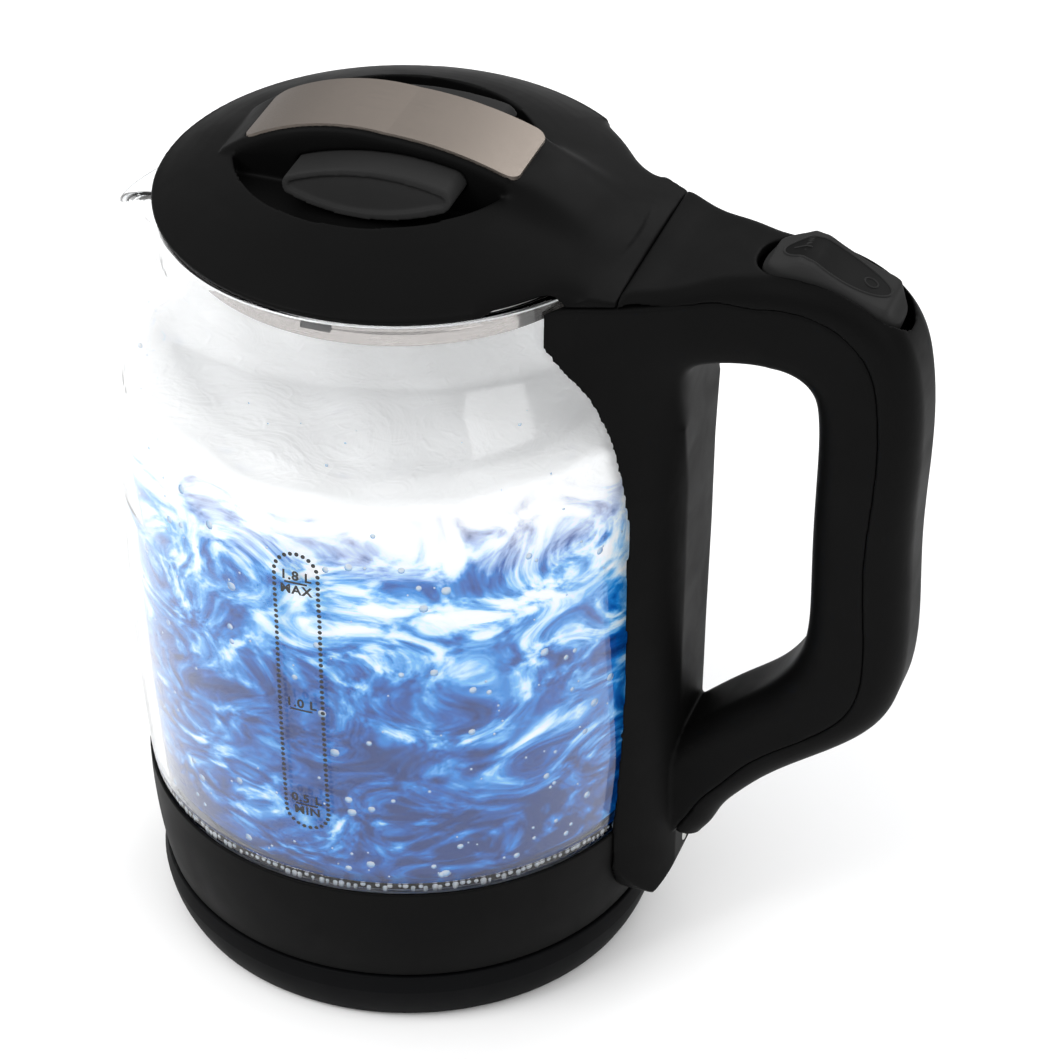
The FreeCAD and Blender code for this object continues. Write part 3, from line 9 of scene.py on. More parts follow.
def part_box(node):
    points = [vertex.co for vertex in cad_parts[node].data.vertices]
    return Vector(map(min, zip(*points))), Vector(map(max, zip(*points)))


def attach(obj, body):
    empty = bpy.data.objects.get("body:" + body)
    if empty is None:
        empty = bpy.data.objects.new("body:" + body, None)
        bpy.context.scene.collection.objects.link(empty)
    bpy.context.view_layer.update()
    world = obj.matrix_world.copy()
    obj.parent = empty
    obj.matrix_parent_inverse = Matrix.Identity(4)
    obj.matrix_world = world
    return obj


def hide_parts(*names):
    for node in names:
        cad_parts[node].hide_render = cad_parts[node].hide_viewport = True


# Glass jug kettle with boiling water, on its power base. Metres, in the CAD part's frame: +Z is up,
# +X points to the handle, -X to the spout, and the jug's axis is x = y = 0.

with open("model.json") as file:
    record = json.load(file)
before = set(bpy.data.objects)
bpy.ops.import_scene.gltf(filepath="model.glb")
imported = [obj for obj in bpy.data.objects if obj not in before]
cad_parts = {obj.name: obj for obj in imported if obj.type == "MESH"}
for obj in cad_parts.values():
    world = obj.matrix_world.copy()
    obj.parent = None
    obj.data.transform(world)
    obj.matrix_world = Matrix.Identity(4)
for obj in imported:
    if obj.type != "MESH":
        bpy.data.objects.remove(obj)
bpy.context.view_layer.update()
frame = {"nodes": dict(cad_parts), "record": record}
nodes = frame["nodes"]
MM = 0.001


# ---------------------------------------------------------------- node materials

class Finish:
    """A procedural material under construction, around one Principled shader."""

    def __init__(self, name, **constants):
        self.material = bpy.data.materials.new(name)
        self.material.use_nodes = True
        self.tree = self.material.node_tree
        self.shader = self.tree.nodes["Principled BSDF"]
        for key, value in constants.items():
            socket = self.shader.inputs[key.replace("_", " ")]
            socket.default_value = value
        self.place = self.new("ShaderNodeTexCoord").outputs["Object"]

    def new(self, kind):
        return self.tree.nodes.new(kind)

    def link(self, source, target):
        self.tree.links.new(source, target)

    def into(self, name, source):
        self.link(source, self.shader.inputs[name])

    def stretched(self, scale):
        mapping = self.new("ShaderNodeMapping")
        mapping.inputs["Scale"].default_value = scale
        self.link(self.place, mapping.inputs["Vector"])
        return mapping.outputs["Vector"]

    def noise(self, scale, detail=4.0, stretch=None, distortion=0.0, kind="FBM"):
        texture = self.new("ShaderNodeTexNoise")
        texture.noise_type = kind
        texture.inputs["Scale"].default_value = scale
        texture.inputs["Detail"].default_value = detail
        texture.inputs["Distortion"].default_value = distortion
        self.link(self.stretched(stretch) if stretch else self.place, texture.inputs["Vector"])
        return texture.outputs["Fac"]

    def cells(self, scale):
        texture = self.new("ShaderNodeTexVoronoi")
        texture.inputs["Scale"].default_value = scale
        self.link(self.place, texture.inputs["Vector"])
        return texture.outputs["Distance"]

    def height(self, low, high):
        """0 at one height of the row frame and 1 at the other."""
        split = self.new("ShaderNodeSeparateXYZ")
        self.link(self.place, split.inputs["Vector"])
        return self.ranged(split.outputs["Z"], low, high, 0.0, 1.0)

    def ranged(self, source, low, high, start, end):
        node = self.new("ShaderNodeMapRange")
        for name, value in (("From Min", low), ("From Max", high), ("To Min", start), ("To Max", end)):
            node.inputs[name].default_value = value
        self.link(source, node.inputs["Value"])
        return node.outputs["Result"]

    def maths(self, operation, first, second):
        node = self.new("ShaderNodeMath")
        node.operation = operation
        for socket, value in zip(node.inputs, (first, second)):
            if isinstance(value, (int, float)):
                socket.default_value = value
            else:
                self.link(value, socket)
        return node.outputs["Value"]

    def ramp(self, source, stops):
        node = self.new("ShaderNodeValToRGB")
        elements = node.color_ramp.elements
        while len(elements) < len(stops):
            elements.new(0.5)
        for element, (place, colour) in zip(elements, stops):
            element.position = place
            element.color = (*colour, 1.0)
        self.link(source, node.inputs["Fac"])
        return node.outputs["Color"]

    def blend(self, share, colour, other):
        """A colour that turns into a constant one as the share goes from 0 to 1."""
        node = self.new("ShaderNodeMix")
        node.data_type = "RGBA"
        first, second = [socket for socket in node.inputs if socket.type == "RGBA"]
        self.link(share, node.inputs["Factor"])
        self.link(colour, first)
        second.default_value = (*other, 1.0)
        return [socket for socket in node.outputs if socket.type == "RGBA"][0]

    def bump(self, source, distance, strength=1.0, under=None):
        node = self.new("ShaderNodeBump")
        node.inputs["Distance"].default_value = distance
        node.inputs["Strength"].default_value = strength
        self.link(source, node.inputs["Height"])
        if under:
            self.link(under, node.inputs["Normal"])
        return node.outputs["Normal"]


def grey(level):
    return (level, level, level)


def moulded(name, colour, roughness, grain=2600.0, depth=0.00003, tint=1.25):
    """Satin moulded plastic: a fine spark-eroded grain and faint flow marks a little lighter."""
    finish = Finish(name, Roughness=roughness)
    finish.shader.inputs["Specular IOR Level"].default_value = 0.045
    flow = finish.noise(35.0, 3.0)
    lighter = tuple(channel * tint for channel in colour)
    finish.into("Base Color", finish.ramp(flow, [(0.3, colour), (0.75, lighter)]))
    smudges = finish.noise(60.0, 5.0, distortion=0.6)
    finish.into("Roughness", finish.ranged(smudges, 0.25, 0.75, roughness - 0.05, roughness + 0.07))
    finish.into("Normal", finish.bump(finish.noise(grain, 2.0), depth, 0.35))
    return finish.material


def brushed(name, colour, roughness, stretch):
    """Brushed steel: long fine scratches in one direction over a slow change of tone."""
    finish = Finish(name, Metallic=1.0, Roughness=roughness)
    scratches = finish.noise(90.0, 6.0, stretch)
    tone = finish.noise(22.0, 2.0)
    mixed = finish.maths("ADD", finish.maths("MULTIPLY", scratches, 0.6), finish.maths("MULTIPLY", tone, 0.4))
    darker = tuple(channel * 0.78 for channel in colour)
    finish.into("Base Color", finish.ramp(mixed, [(0.3, darker), (0.7, colour)]))
    finish.into("Roughness", finish.ranged(scratches, 0.3, 0.7, roughness - 0.06, roughness + 0.1))
    finish.into("Normal", finish.bump(scratches, 0.00004, 0.3))
    return finish.material


def turned_steel(name, colour, roughness):
    """Steel polished on a lathe: fine rings about the jug's axis."""
    finish = Finish(name, Metallic=1.0, Roughness=roughness)
    wave = finish.new("ShaderNodeTexWave")
    wave.wave_type = "RINGS"
    wave.rings_direction = "Z"
    wave.inputs["Scale"].default_value = 420.0
    wave.inputs["Distortion"].default_value = 2.5
    finish.link(finish.place, wave.inputs["Vector"])
    rings = wave.outputs["Fac"]
    darker = tuple(channel * 0.85 for channel in colour)
    finish.into("Base Color", finish.ramp(rings, [(0.2, darker), (0.8, colour)]))
    finish.into("Roughness", finish.ranged(rings, 0.0, 1.0, roughness, roughness + 0.08))
    finish.into("Normal", finish.bump(rings, 0.00002, 0.2))
    return finish.material


def plain_metal(name, colour, roughness):
    """Plated or pressed metal with faint stains."""
    finish = Finish(name, Metallic=1.0, Roughness=roughness)
    stains = finish.noise(120.0, 5.0, distortion=0.8)
    darker = tuple(channel * 0.7 for channel in colour)
    finish.into("Base Color", finish.ramp(stains, [(0.3, darker), (0.65, colour)]))
    finish.into("Roughness", finish.ranged(stains, 0.2, 0.8, roughness - 0.08, roughness + 0.12))
    finish.into("Normal", finish.bump(finish.noise(900.0, 2.0), 0.00002, 0.3))
    return finish.material


def soft_rubber(name, colour, roughness=0.75):
    finish = Finish(name, Roughness=roughness)
    dust = finish.noise(180.0, 5.0)
    lighter = tuple(min(1.0, channel * 1.5) for channel in colour)
    finish.into("Base Color", finish.ramp(dust, [(0.35, colour), (0.8, lighter)]))
    finish.into("Roughness", finish.ranged(dust, 0.2, 0.8, roughness - 0.1, roughness + 0.1))
    finish.into("Normal", finish.bump(finish.noise(1500.0, 3.0), 0.00005, 0.4))
    return finish.material


def clear_glass(name):
    """Clear borosilicate: a blown surface that is faintly uneven, with a painted shade that greys it where it
    is seen edge on.
    """
    finish = Finish(name, Roughness=0.0, IOR=1.47, Transmission_Weight=1.0)
    finish.shader.inputs["Specular IOR Level"].default_value = 0.2
    facing = finish.new("ShaderNodeLayerWeight")
    facing.inputs["Blend"].default_value = 0.5
    uneven = finish.ranged(finish.noise(20.0, 2.0), 0.0, 1.0, -0.02, 0.02)
    edge = finish.maths("ADD", facing.outputs["Facing"], uneven)
    # Painted shade: the colour greys towards grazing angles, standing in for the darker surroundings the
    # glass would refract at its edges.
    finish.into("Base Color", finish.ramp(edge, [
        (0.5, (0.965, 0.972, 0.976)), (0.78, (0.90, 0.915, 0.925)), (0.97, (0.55, 0.575, 0.59)),
    ]))
    finish.into("Normal", finish.bump(finish.noise(28.0, 2.0, (1.0, 1.0, 0.5)), 0.0004, 0.25))
    return finish.material


def boiling_water(name, low, high):
    """Water on the boil, with the base lamp's blue light painted into its colour and a painted glow: folded
    streams of deep blue and white foam, whiter towards the top.
    """
    finish = Finish(name, Roughness=0.25, IOR=1.33)
    finish.shader.inputs["Specular IOR Level"].default_value = 0.15
    broad = finish.noise(15.0, 3.0, (1.0, 1.0, 1.6), 0.8)
    swirls = finish.noise(34.0, 10.0, (1.0, 1.0, 1.7), 3.4)
    folds = finish.noise(120.0, 9.0, (1.0, 1.0, 1.6), 2.2, "RIDGED_MULTIFRACTAL")
    rise = finish.height(low, high)
    lit = swirls
    for source, share in ((broad, 0.75), (folds, 0.08), (rise, 0.26)):
        lit = finish.maths("ADD", lit, finish.maths("MULTIPLY", source, share))
    # Painted lamp light: the blue of these streams stands in for the base lamp shining through the water; the
    # white is foam.
    painted_lamp_light_streams = finish.ramp(finish.ranged(lit, 0.84, 1.33, 0.0, 1.0), [
        (0.0, (0.0, 0.03, 0.17)), (0.24, (0.0, 0.09, 0.40)), (0.42, (0.01, 0.22, 0.64)),
        (0.56, (0.15, 0.46, 0.85)), (0.70, (0.58, 0.79, 0.96)), (0.86, (0.95, 0.97, 1.0)),
    ])
    ragged = finish.maths("ADD", rise, finish.maths("MULTIPLY", swirls, 0.35))
    steam = finish.ranged(ragged, 0.98, 1.12, 0.0, 1.0)
    colour = finish.blend(steam, painted_lamp_light_streams, (0.98, 0.985, 0.99))
    finish.into("Base Color", colour)
    # Painted glow: the colour is also emitted, so the water shines as if lit from below and its white top
    # stays bright in the lid's shade.
    finish.into("Emission Color", colour)
    finish.shader.inputs["Emission Strength"].default_value = 0.36
    rough = finish.bump(swirls, 0.003, 0.35)
    finish.into("Normal", finish.bump(folds, 0.001, 0.3, rough))
    return finish.material


def bubble_painted_shine(name):
    """The skin of a bubble or a drop, its look painted in: a pale middle, a blue ring of painted refraction
    and a painted highlight on the rim.
    """
    finish = Finish(name, Roughness=0.05)
    facing = finish.new("ShaderNodeLayerWeight")
    facing.inputs["Blend"].default_value = 0.5
    ripple = finish.ranged(finish.noise(400.0, 2.0), 0.0, 1.0, -0.1, 0.1)
    # Painted light: the pale centre, blue ring and white rim follow the viewing angle, standing in for
    # refraction and a highlight.
    finish.into("Base Color", finish.ramp(finish.maths("ADD", facing.outputs["Facing"], ripple), [
        (0.10, (0.80, 0.90, 1.0)), (0.40, (0.30, 0.58, 0.90)),
        (0.62, (0.06, 0.26, 0.66)), (0.85, (0.95, 0.98, 1.0)),
    ]))
    return finish.material


def white_foam(name):
    finish = Finish(name, Roughness=0.3)
    froth = finish.noise(350.0, 3.0)
    finish.into("Base Color", finish.ramp(froth, [(0.3, (0.75, 0.86, 0.97)), (0.7, (1.0, 1.0, 1.0))]))
    finish.into("Normal", finish.bump(finish.cells(900.0), 0.0003, 0.4))
    return finish.material


def ink(name):
    """Black ceramic ink, screen printed, with a slightly uneven edge to its gloss."""
    finish = Finish(name, Roughness=0.35)
    film = finish.noise(900.0, 3.0)
    finish.into("Base Color", finish.ramp(film, [(0.3, grey(0.006)), (0.8, grey(0.02))]))
    finish.into("Roughness", finish.ranged(film, 0.2, 0.8, 0.25, 0.5))
    return finish.material


def pale_floor(name):
    finish = Finish(name, Roughness=0.9)
    finish.into("Base Color", finish.ramp(finish.noise(3.0, 2.0), [(0.2, grey(0.93)), (0.8, grey(0.96))]))
    return finish.material


MATERIALS = {
    "base_plastic": moulded("base_black_plastic", (0.0022, 0.0023, 0.0026), 0.55),
    "black_plastic": moulded("satin_black_plastic", grey(0.0024), 0.50),
    "grey_plastic": moulded("dark_grey_plastic", grey(0.019), 0.55, 2000.0, 0.00004),
    "inner_plastic": moulded("plain_inner_plastic", grey(0.05), 0.55),
    "clear_glass": clear_glass("jug_glass"),
    "plate_steel": turned_steel("turned_plate_steel", (0.62, 0.61, 0.60), 0.28),
    "trim_steel": brushed("brushed_trim_steel", (0.235, 0.203, 0.177), 0.44, (0.8, 40.0, 40.0)),
    "ring_steel": brushed("polished_ring_steel", (0.46, 0.43, 0.41), 0.2, (1.0, 1.0, 30.0)),
    "screw_steel": plain_metal("zinc_plated_steel", (0.62, 0.62, 0.60), 0.32),
    "spring_steel": plain_metal("spring_wire_steel", (0.45, 0.45, 0.46), 0.3),
    "spreader_aluminium": plain_metal("rolled_aluminium", (0.72, 0.72, 0.73), 0.42),
    "contact_brass": plain_metal("pressed_brass", (0.72, 0.52, 0.22), 0.34),
    "seal_silicone": soft_rubber("grey_silicone", grey(0.55), 0.5),
    "foot_rubber": soft_rubber("black_rubber", grey(0.012)),
    "board_laminate": moulded("board_lacquer", (0.01, 0.09, 0.03), 0.3),
    "lamp_resin": moulded("blue_lamp_resin", (0.1, 0.3, 0.85), 0.15),
    "wire_sheath": soft_rubber("red_sleeving", (0.2, 0.02, 0.02), 0.6),
}


def dress_nodes():
    """Gives every CAD node the material of its slot."""
    for entry in frame["record"]["subparts"]:
        piece = nodes[entry["node"]]
        for holder in piece.material_slots:
            holder.material = MATERIALS[entry["material_slot"]]


def soften(piece, voxel, rounds):
    """Rounds the moulding's edges over a small radius, without moving its faces."""
    skin = piece.modifiers.new("skin", "REMESH")
    skin.mode = "VOXEL"
    skin.voxel_size = voxel
    skin.use_smooth_shade = True
    ease = piece.modifiers.new("ease", "SMOOTH")
    ease.factor = 0.5
    ease.iterations = rounds


# A centre's size in a direction that doesn't count towards the distance from it.
EVERYWHERE = math.inf


def blend_over(piece, rounds, centre, near, far):
    """Blends steps into each other within a distance of a centre, fading out at a further one."""
    group = bpy.data.node_groups.new(piece.name + "_blend", "GeometryNodeTree")
    group.interface.new_socket("Geometry", in_out="INPUT", socket_type="NodeSocketGeometry")
    group.interface.new_socket("Geometry", in_out="OUTPUT", socket_type="NodeSocketGeometry")
    entry = group.nodes.new("NodeGroupInput")
    leave = group.nodes.new("NodeGroupOutput")
    position = group.nodes.new("GeometryNodeInputPosition")
    flat = group.nodes.new("ShaderNodeVectorMath")
    flat.operation = "MULTIPLY"
    flat.inputs[1].default_value = [0.0 if math.isinf(size) else 1.0 for size in centre]
    apart = group.nodes.new("ShaderNodeVectorMath")
    apart.operation = "DISTANCE"
    apart.inputs[1].default_value = [0.0 if math.isinf(size) else size for size in centre]
    weight = group.nodes.new("ShaderNodeMapRange")
    for name, value in (("From Min", near), ("From Max", far), ("To Min", 1.0), ("To Max", 0.0)):
        weight.inputs[name].default_value = value
    blur = group.nodes.new("GeometryNodeBlurAttribute")
    blur.data_type = "FLOAT_VECTOR"
    blur.inputs["Iterations"].default_value = rounds
    move = group.nodes.new("GeometryNodeSetPosition")
    join = group.links.new
    join(position.outputs[0], flat.inputs[0])
    join(flat.outputs[0], apart.inputs[0])
    join(apart.outputs["Value"], weight.inputs["Value"])
    join(weight.outputs["Result"], blur.inputs["Weight"])
    vector_value = [socket for socket in blur.inputs if socket.name == "Value" and socket.type == "VECTOR"][0]
    vector_result = [socket for socket in blur.outputs if socket.type == "VECTOR"][0]
    join(position.outputs[0], vector_value)
    join(vector_result, move.inputs["Position"])
    join(entry.outputs[0], move.inputs["Geometry"])
    join(move.outputs[0], leave.inputs[0])
    piece.modifiers.new("blend", "NODES").node_group = group


# ---------------------------------------------------------------- meshes

def mesh_piece(name, vertices, faces, material, body):
    mesh = bpy.data.meshes.new(name)
    mesh.from_pydata([tuple(point) for point in vertices], [], faces)
    mesh.validate()
    for polygon in mesh.polygons:
        polygon.use_smooth = True
    piece = bpy.data.objects.new(name, mesh)
    bpy.context.collection.objects.link(piece)
    mesh.materials.append(material)
    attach(piece, body)
    return piece


def arc_steps(start, end, radius, steps):
    """Points after the start, up to the end, along the arc that bulges right of the way travelled if the
    radius is positive."""
    chord = end - start
    side = Vector((chord.y, -chord.x)).normalized() * math.copysign(1.0, radius)
    rise = math.sqrt(max(radius * radius - chord.length_squared / 4.0, 0.0))
    centre = (start + end) / 2.0 - side * rise
    first = math.atan2(start.y - centre.y, start.x - centre.x)
    turn = math.asin(min(1.0, chord.length / 2.0 / abs(radius))) * 2.0 * math.copysign(1.0, radius)
    return [centre + Vector((math.cos(first + turn * step / steps), math.sin(first + turn * step / steps)))
            * abs(radius) for step in range(1, steps + 1)]


def follow(outline, spacing):
    """Turns corners (radius, height) or (radius, height, arc) in millimetres into close points in metres."""
    points = [Vector(outline[0][:2])]
    for corner in outline[1:]:
        end = Vector(corner[:2])
        length = (end - points[-1]).length
        steps = max(1, math.ceil(length / spacing))
        if len(corner) > 2:
            points += arc_steps(points[-1], end, corner[2], steps)
        else:
            points += [points[-1].lerp(end, step / steps) for step in range(1, steps + 1)]
    return [point * MM for point in points]


# ---------------------------------------------------------------- glass

GLASS_WALL = 3.0 * MM
SPOUT_REACH = -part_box("glass_jug")[0][0]
SPOUT_START = 188.0 * MM
SPOUT_DIP = 18.3 * MM
LIP_ROUND = 1.0 * MM

# The outer meridian of the glass, from its foot to its rim: radius, height and arc in millimetres.
GLASS_MERIDIAN = [
    (72.2, 45.0), (72.2, 48.6), (74.4, 51.0, -3.0), (78.3, 144.0, 900.0), (76.4, 176.0, 110.0),
    (68.0, 203.0, 80.0), (64.6, 214.0, -34.0), (64.6, 226.6),
]
MERIDIAN = follow(GLASS_MERIDIAN, spacing=1.4)

# Where the rim's rounded edge has its points, in degrees from the outer wall to the inner one.
RIM_SWINGS = (22, 45, 67, 90, 113, 135, 158)


def meridian_radius(height):
    """Outer radius of the glass, without its spout, at a height."""
    for low, high in zip(MERIDIAN, MERIDIAN[1:]):
        if low.y <= height <= high.y:
            share = (height - low.y) / max(high.y - low.y, 1e-9)
            return low.x + (high.x - low.x) * share
    return MERIDIAN[-1].x


def spout_flare(angle):
    """How far the lip is drawn out, at an angle in degrees from the spout's middle."""
    return math.exp(-(abs(angle) / 8.5) ** 1.8)


def spout_drop(angle):
    """How far the rim is drawn down, as a share of the drop at the spout's middle."""
    return math.exp(-(abs(angle) / 11.0) ** 1.2)


def glass_meridian(angle):
    """The outer meridian at an angle in degrees from the spout's middle: (radius, height) points."""
    wall_top = MERIDIAN[-1].y
    lip = wall_top - SPOUT_DIP * spout_drop(angle)
    reach = (SPOUT_REACH - meridian_radius(lip) - LIP_ROUND) * spout_flare(angle)
    points = []
    for base in MERIDIAN:
        height = base.y
        radius = base.x
        if height > SPOUT_START:
            share = (height - SPOUT_START) / (wall_top - SPOUT_START)
            height = SPOUT_START + (lip - SPOUT_START) * share
            radius = meridian_radius(height) + reach * share ** 4.0
        points.append((radius, height))
    return points


def glass_columns():
    """Angles from the spout's middle, closer together at the spout."""
    spread, fine, coarse = 30, 0.5, 2.0
    near = [step * fine for step in range(-round(spread / fine), round(spread / fine))]
    away = [spread + step * coarse for step in range(round((360 - 2 * spread) / coarse))]
    return near + away


def glass_jug():
    """The jug: outer wall, rounded rim and inner wall in one closed skin, with the drawn spout."""
    angles = glass_columns()
    outer = []
    for angle in angles:
        turn = math.radians(180.0 + angle)
        outer.append([Vector((radius * math.cos(turn), radius * math.sin(turn), height))
                      for radius, height in glass_meridian(angle)])
    count = len(angles)
    rows = len(outer[0])
    loops = []
    for column in range(count):
        before, after = outer[column - 1], outer[(column + 1) % count]
        line = outer[column]
        inside = []
        for row in range(rows):
            along = (line[min(row + 1, rows - 1)] - line[max(row - 1, 0)]).normalized()
            across = (after[row] - before[row]).normalized()
            inside.append((line[row] - across.cross(along).normalized() * GLASS_WALL, along))
        facing = (line[-1] - inside[-1][0]) / 2.0
        middle = (line[-1] + inside[-1][0]) / 2.0
        rim = [middle + facing * math.cos(math.radians(swing)) + inside[-1][1] * facing.length
               * math.sin(math.radians(swing)) for swing in RIM_SWINGS]
        loops.append(line + rim + [point for point, _ in reversed(inside)])
    length = len(loops[0])
    vertices = [point for loop in loops for point in loop]
    faces = []
    for column in range(count):
        here, there = column * length, (column + 1) % count * length
        for row in range(length):
            after = (row + 1) % length
            faces.append((here + row, there + row, there + after, here + after))
    piece = mesh_piece("glass_body", vertices, faces, MATERIALS["clear_glass"], "kettle")
    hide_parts("glass_jug")


# ---------------------------------------------------------------- printed scale

SCALE_ANGLE = -90.0
SCALE_LOW = 71.8 * MM
SCALE_HIGH = 164.6 * MM
SCALE_HALF = 6.1 * MM
DOT = 0.62 * MM
DOT_SIDES = 12
DOT_SPACING = 1.8 * MM
BAR_HALF = 3.2 * MM
BAR_THICKNESS = 0.6 * MM
LETTER = 3.9 * MM

# The level marks: name, litres above the bar, word below it and the bar's height.
LEVELS = [
    ("max", "1.8 L", "MAX", 155.7 * MM),
    ("half", "1.0 L", "", 113.5 * MM),
    ("min", "0.5 L", "MIN", 79.9 * MM),
]


def on_glass(across, height, lift=0.08 * MM):
    """A point on the glass at a height and a distance across from the middle of the scale."""
    radius = meridian_radius(height) + lift
    turn = math.radians(SCALE_ANGLE) + across / radius
    return Vector((radius * math.cos(turn), radius * math.sin(turn), height))


def stadium_points():
    """Points evenly spaced round the dotted outline: two straight sides and two half rounds."""
    side = SCALE_HIGH - SCALE_LOW - 2.0 * SCALE_HALF
    whole = 2.0 * side + 2.0 * math.pi * SCALE_HALF
    count = round(whole / DOT_SPACING)
    middle = (SCALE_HIGH + SCALE_LOW) / 2.0
    for number in range(count):
        run = whole * number / count
        flip = 1.0
        if run >= whole / 2.0:
            run -= whole / 2.0
            flip = -1.0
        if run < side:
            yield flip * SCALE_HALF, middle + flip * (run - side / 2.0)
        else:
            turn = (run - side) / SCALE_HALF
            rise = side / 2.0 + SCALE_HALF * math.sin(turn)
            yield flip * SCALE_HALF * math.cos(turn), middle + flip * rise


def scale_dots():
    """The dots of the outline, each a flat disc on the glass."""
    vertices, faces = [], []
    for across, height in stadium_points():
        first = len(vertices)
        for step in range(DOT_SIDES):
            turn = step * math.tau / DOT_SIDES
            vertices.append(on_glass(across + DOT * math.cos(turn), height + DOT * math.sin(turn)))
        faces.append(tuple(range(first, first + DOT_SIDES)))
    mesh_piece("scale_dots", vertices, faces, PRINT, "kettle")


def scale_bar(name, height):
    """The short line of one level."""
    vertices, faces = [], []
    steps = 8
    for step in range(steps + 1):
        across = BAR_HALF * (2.0 * step / steps - 1.0)
        vertices.append(on_glass(across, height - BAR_THICKNESS / 2.0))
        vertices.append(on_glass(across, height + BAR_THICKNESS / 2.0))
    for step in range(steps):
        faces.append((2 * step, 2 * step + 2, 2 * step + 3, 2 * step + 1))
    mesh_piece(name, vertices, faces, PRINT, "kettle")


def scale_text(name, words, height):
    """Generic level mark, laid on the curve of the glass."""
    curve = bpy.data.curves.new(name + "_letters", "FONT")
    curve.body = words
    curve.size = LETTER
    curve.align_x = "CENTER"
    curve.space_character = 1.12
    curve.offset = LETTER * 0.034
    holder = bpy.data.objects.new(name + "_letters", curve)
    bpy.context.collection.objects.link(holder)
    bpy.context.view_layer.update()
    flat = bpy.data.meshes.new_from_object(holder)
    bpy.data.objects.remove(holder)
    vertices = [on_glass(vertex.co.x, height + vertex.co.y) for vertex in flat.vertices]
    faces = [tuple(polygon.vertices) for polygon in flat.polygons]
    bpy.data.meshes.remove(flat)
    mesh_piece(name, vertices, faces, PRINT, "kettle")


def printed_scale():
    """The dotted outline with its levels: litres stand on the bar and the word hangs under it."""
    scale_dots()
    for name, above, below, level in LEVELS:
        scale_bar("bar_" + name, level)
        scale_text("litres_" + name, above, level + 0.9 * MM)
        if below:
            scale_text("word_" + name, below, level - 3.5 * MM)


# ---------------------------------------------------------------- water

WATER_TOP = 180.0 * MM
WATER_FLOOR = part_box("heating_plate")[1][2] + 0.3 * MM
FOOT_BEND = 56.0 * MM
FOOT_TAPER = 0.55
GLASS_STRAIGHT = 52.0 * MM
FOAM_COUNT = 230


def surface_wave(x, y):
    """Height of the churning surface above its mean."""
    swell = math.sin(x * 61.0 + 1.3) * math.cos(y * 53.0 - 0.6) * 1.6
    chop = math.sin(x * 210.0 + y * 160.0) * 0.5 + math.cos(x * 150.0 - y * 230.0 + 2.0) * 0.4
    return (swell + chop) * MM


def water_body():
    """The water: it follows the inside of the glass and has a rough upper surface."""
    columns, rows, rings = 160, 60, 26
    vertices, faces = [], []
    gap = GLASS_WALL + 0.5 * MM
    for row in range(rows + 1):
        share = row / rows
        for column in range(columns):
            turn = math.tau * column / columns
            edge = Vector((math.cos(turn), math.sin(turn)))
            top = WATER_TOP + surface_wave(edge.x * 0.07, edge.y * 0.07)
            height = WATER_FLOOR + (top - WATER_FLOOR) * share
            radius = meridian_radius(max(height, GLASS_STRAIGHT)) - gap
            if height < FOOT_BEND:
                radius -= (FOOT_BEND - height) * FOOT_TAPER
            vertices.append((radius * edge.x, radius * edge.y, height))
    for row in range(rows):
        for column in range(columns):
            after = (column + 1) % columns
            low = row * columns
            faces.append((low + column, low + after, low + columns + after, low + columns + column))
    last = rows * columns
    for ring in range(1, rings + 1):
        share = 1.0 - ring / (rings + 1)
        for column in range(columns):
            turn = math.tau * column / columns
            radius = (meridian_radius(WATER_TOP) - gap) * share
            x, y = radius * math.cos(turn), radius * math.sin(turn)
            vertices.append((x, y, WATER_TOP + surface_wave(x, y)))
        first = last + (ring - 1) * columns
        for column in range(columns):
            after = (column + 1) % columns
            faces.append((first + column, first + after, first + columns + after, first + columns + column))
    inner = last + rings * columns
    faces.append(tuple(range(inner, inner + columns)))
    faces.append(tuple(reversed(range(columns))))
    mesh_piece("boiling_water", vertices, faces, WATER, "kettle")


def ball(centre, radius, flat, vertices, faces, around=10, levels=6):
    """Adds a bubble pressed flat by a factor along the direction from the jug's axis."""
    outward = Vector((centre.x, centre.y, 0.0)).normalized()
    across = Vector((-outward.y, outward.x, 0.0))
    first = len(vertices)
    for level in range(levels + 1):
        tilt = math.pi * level / levels
        for step in range(around):
            turn = math.tau * step / around
            ring = math.sin(tilt) * radius
            vertices.append(centre + outward * ring * math.cos(turn) * flat + across * ring * math.sin(turn)
                            + Vector((0, 0, math.cos(tilt) * radius)))
    for level in range(levels):
        for step in range(around):
            after = (step + 1) % around
            low = first + level * around
            faces.append((low + step, low + after, low + around + after, low + around + step))


def bubbles(name, count, low, high, smallest, largest, seed):
    """Bubbles against the inside of the glass between two heights."""
    rng = random.Random(seed)
    vertices, faces = [], []
    for _ in range(count):
        height = low + (high - low) * rng.random() ** 1.3
        radius = smallest + (largest - smallest) * rng.random() ** 3
        turn = rng.random() * math.tau
        reach = meridian_radius(height) - GLASS_WALL - 0.3 * MM - radius * 0.5
        ball(Vector((reach * math.cos(turn), reach * math.sin(turn), height)), radius, 0.6, vertices, faces)
    mesh_piece(name, vertices, faces, BUBBLE, "kettle")


def foam_row():
    """The row of small bubbles where the water meets the foot of the glass."""
    rng = random.Random(21)
    vertices, faces = [], []
    for number in range(FOAM_COUNT):
        height = WATER_FLOOR + (1.6 + 0.9 * rng.random()) * MM
        radius = (0.5 + 0.5 * rng.random()) * MM
        turn = math.tau * (number + 0.5 * rng.random()) / FOAM_COUNT
        reach = meridian_radius(max(height, GLASS_STRAIGHT)) - GLASS_WALL - 0.2 * MM - radius * 0.6
        ball(Vector((reach * math.cos(turn), reach * math.sin(turn), height)), radius, 0.6, vertices, faces)
    mesh_piece("foam_row", vertices, faces, FOAM, "kettle")


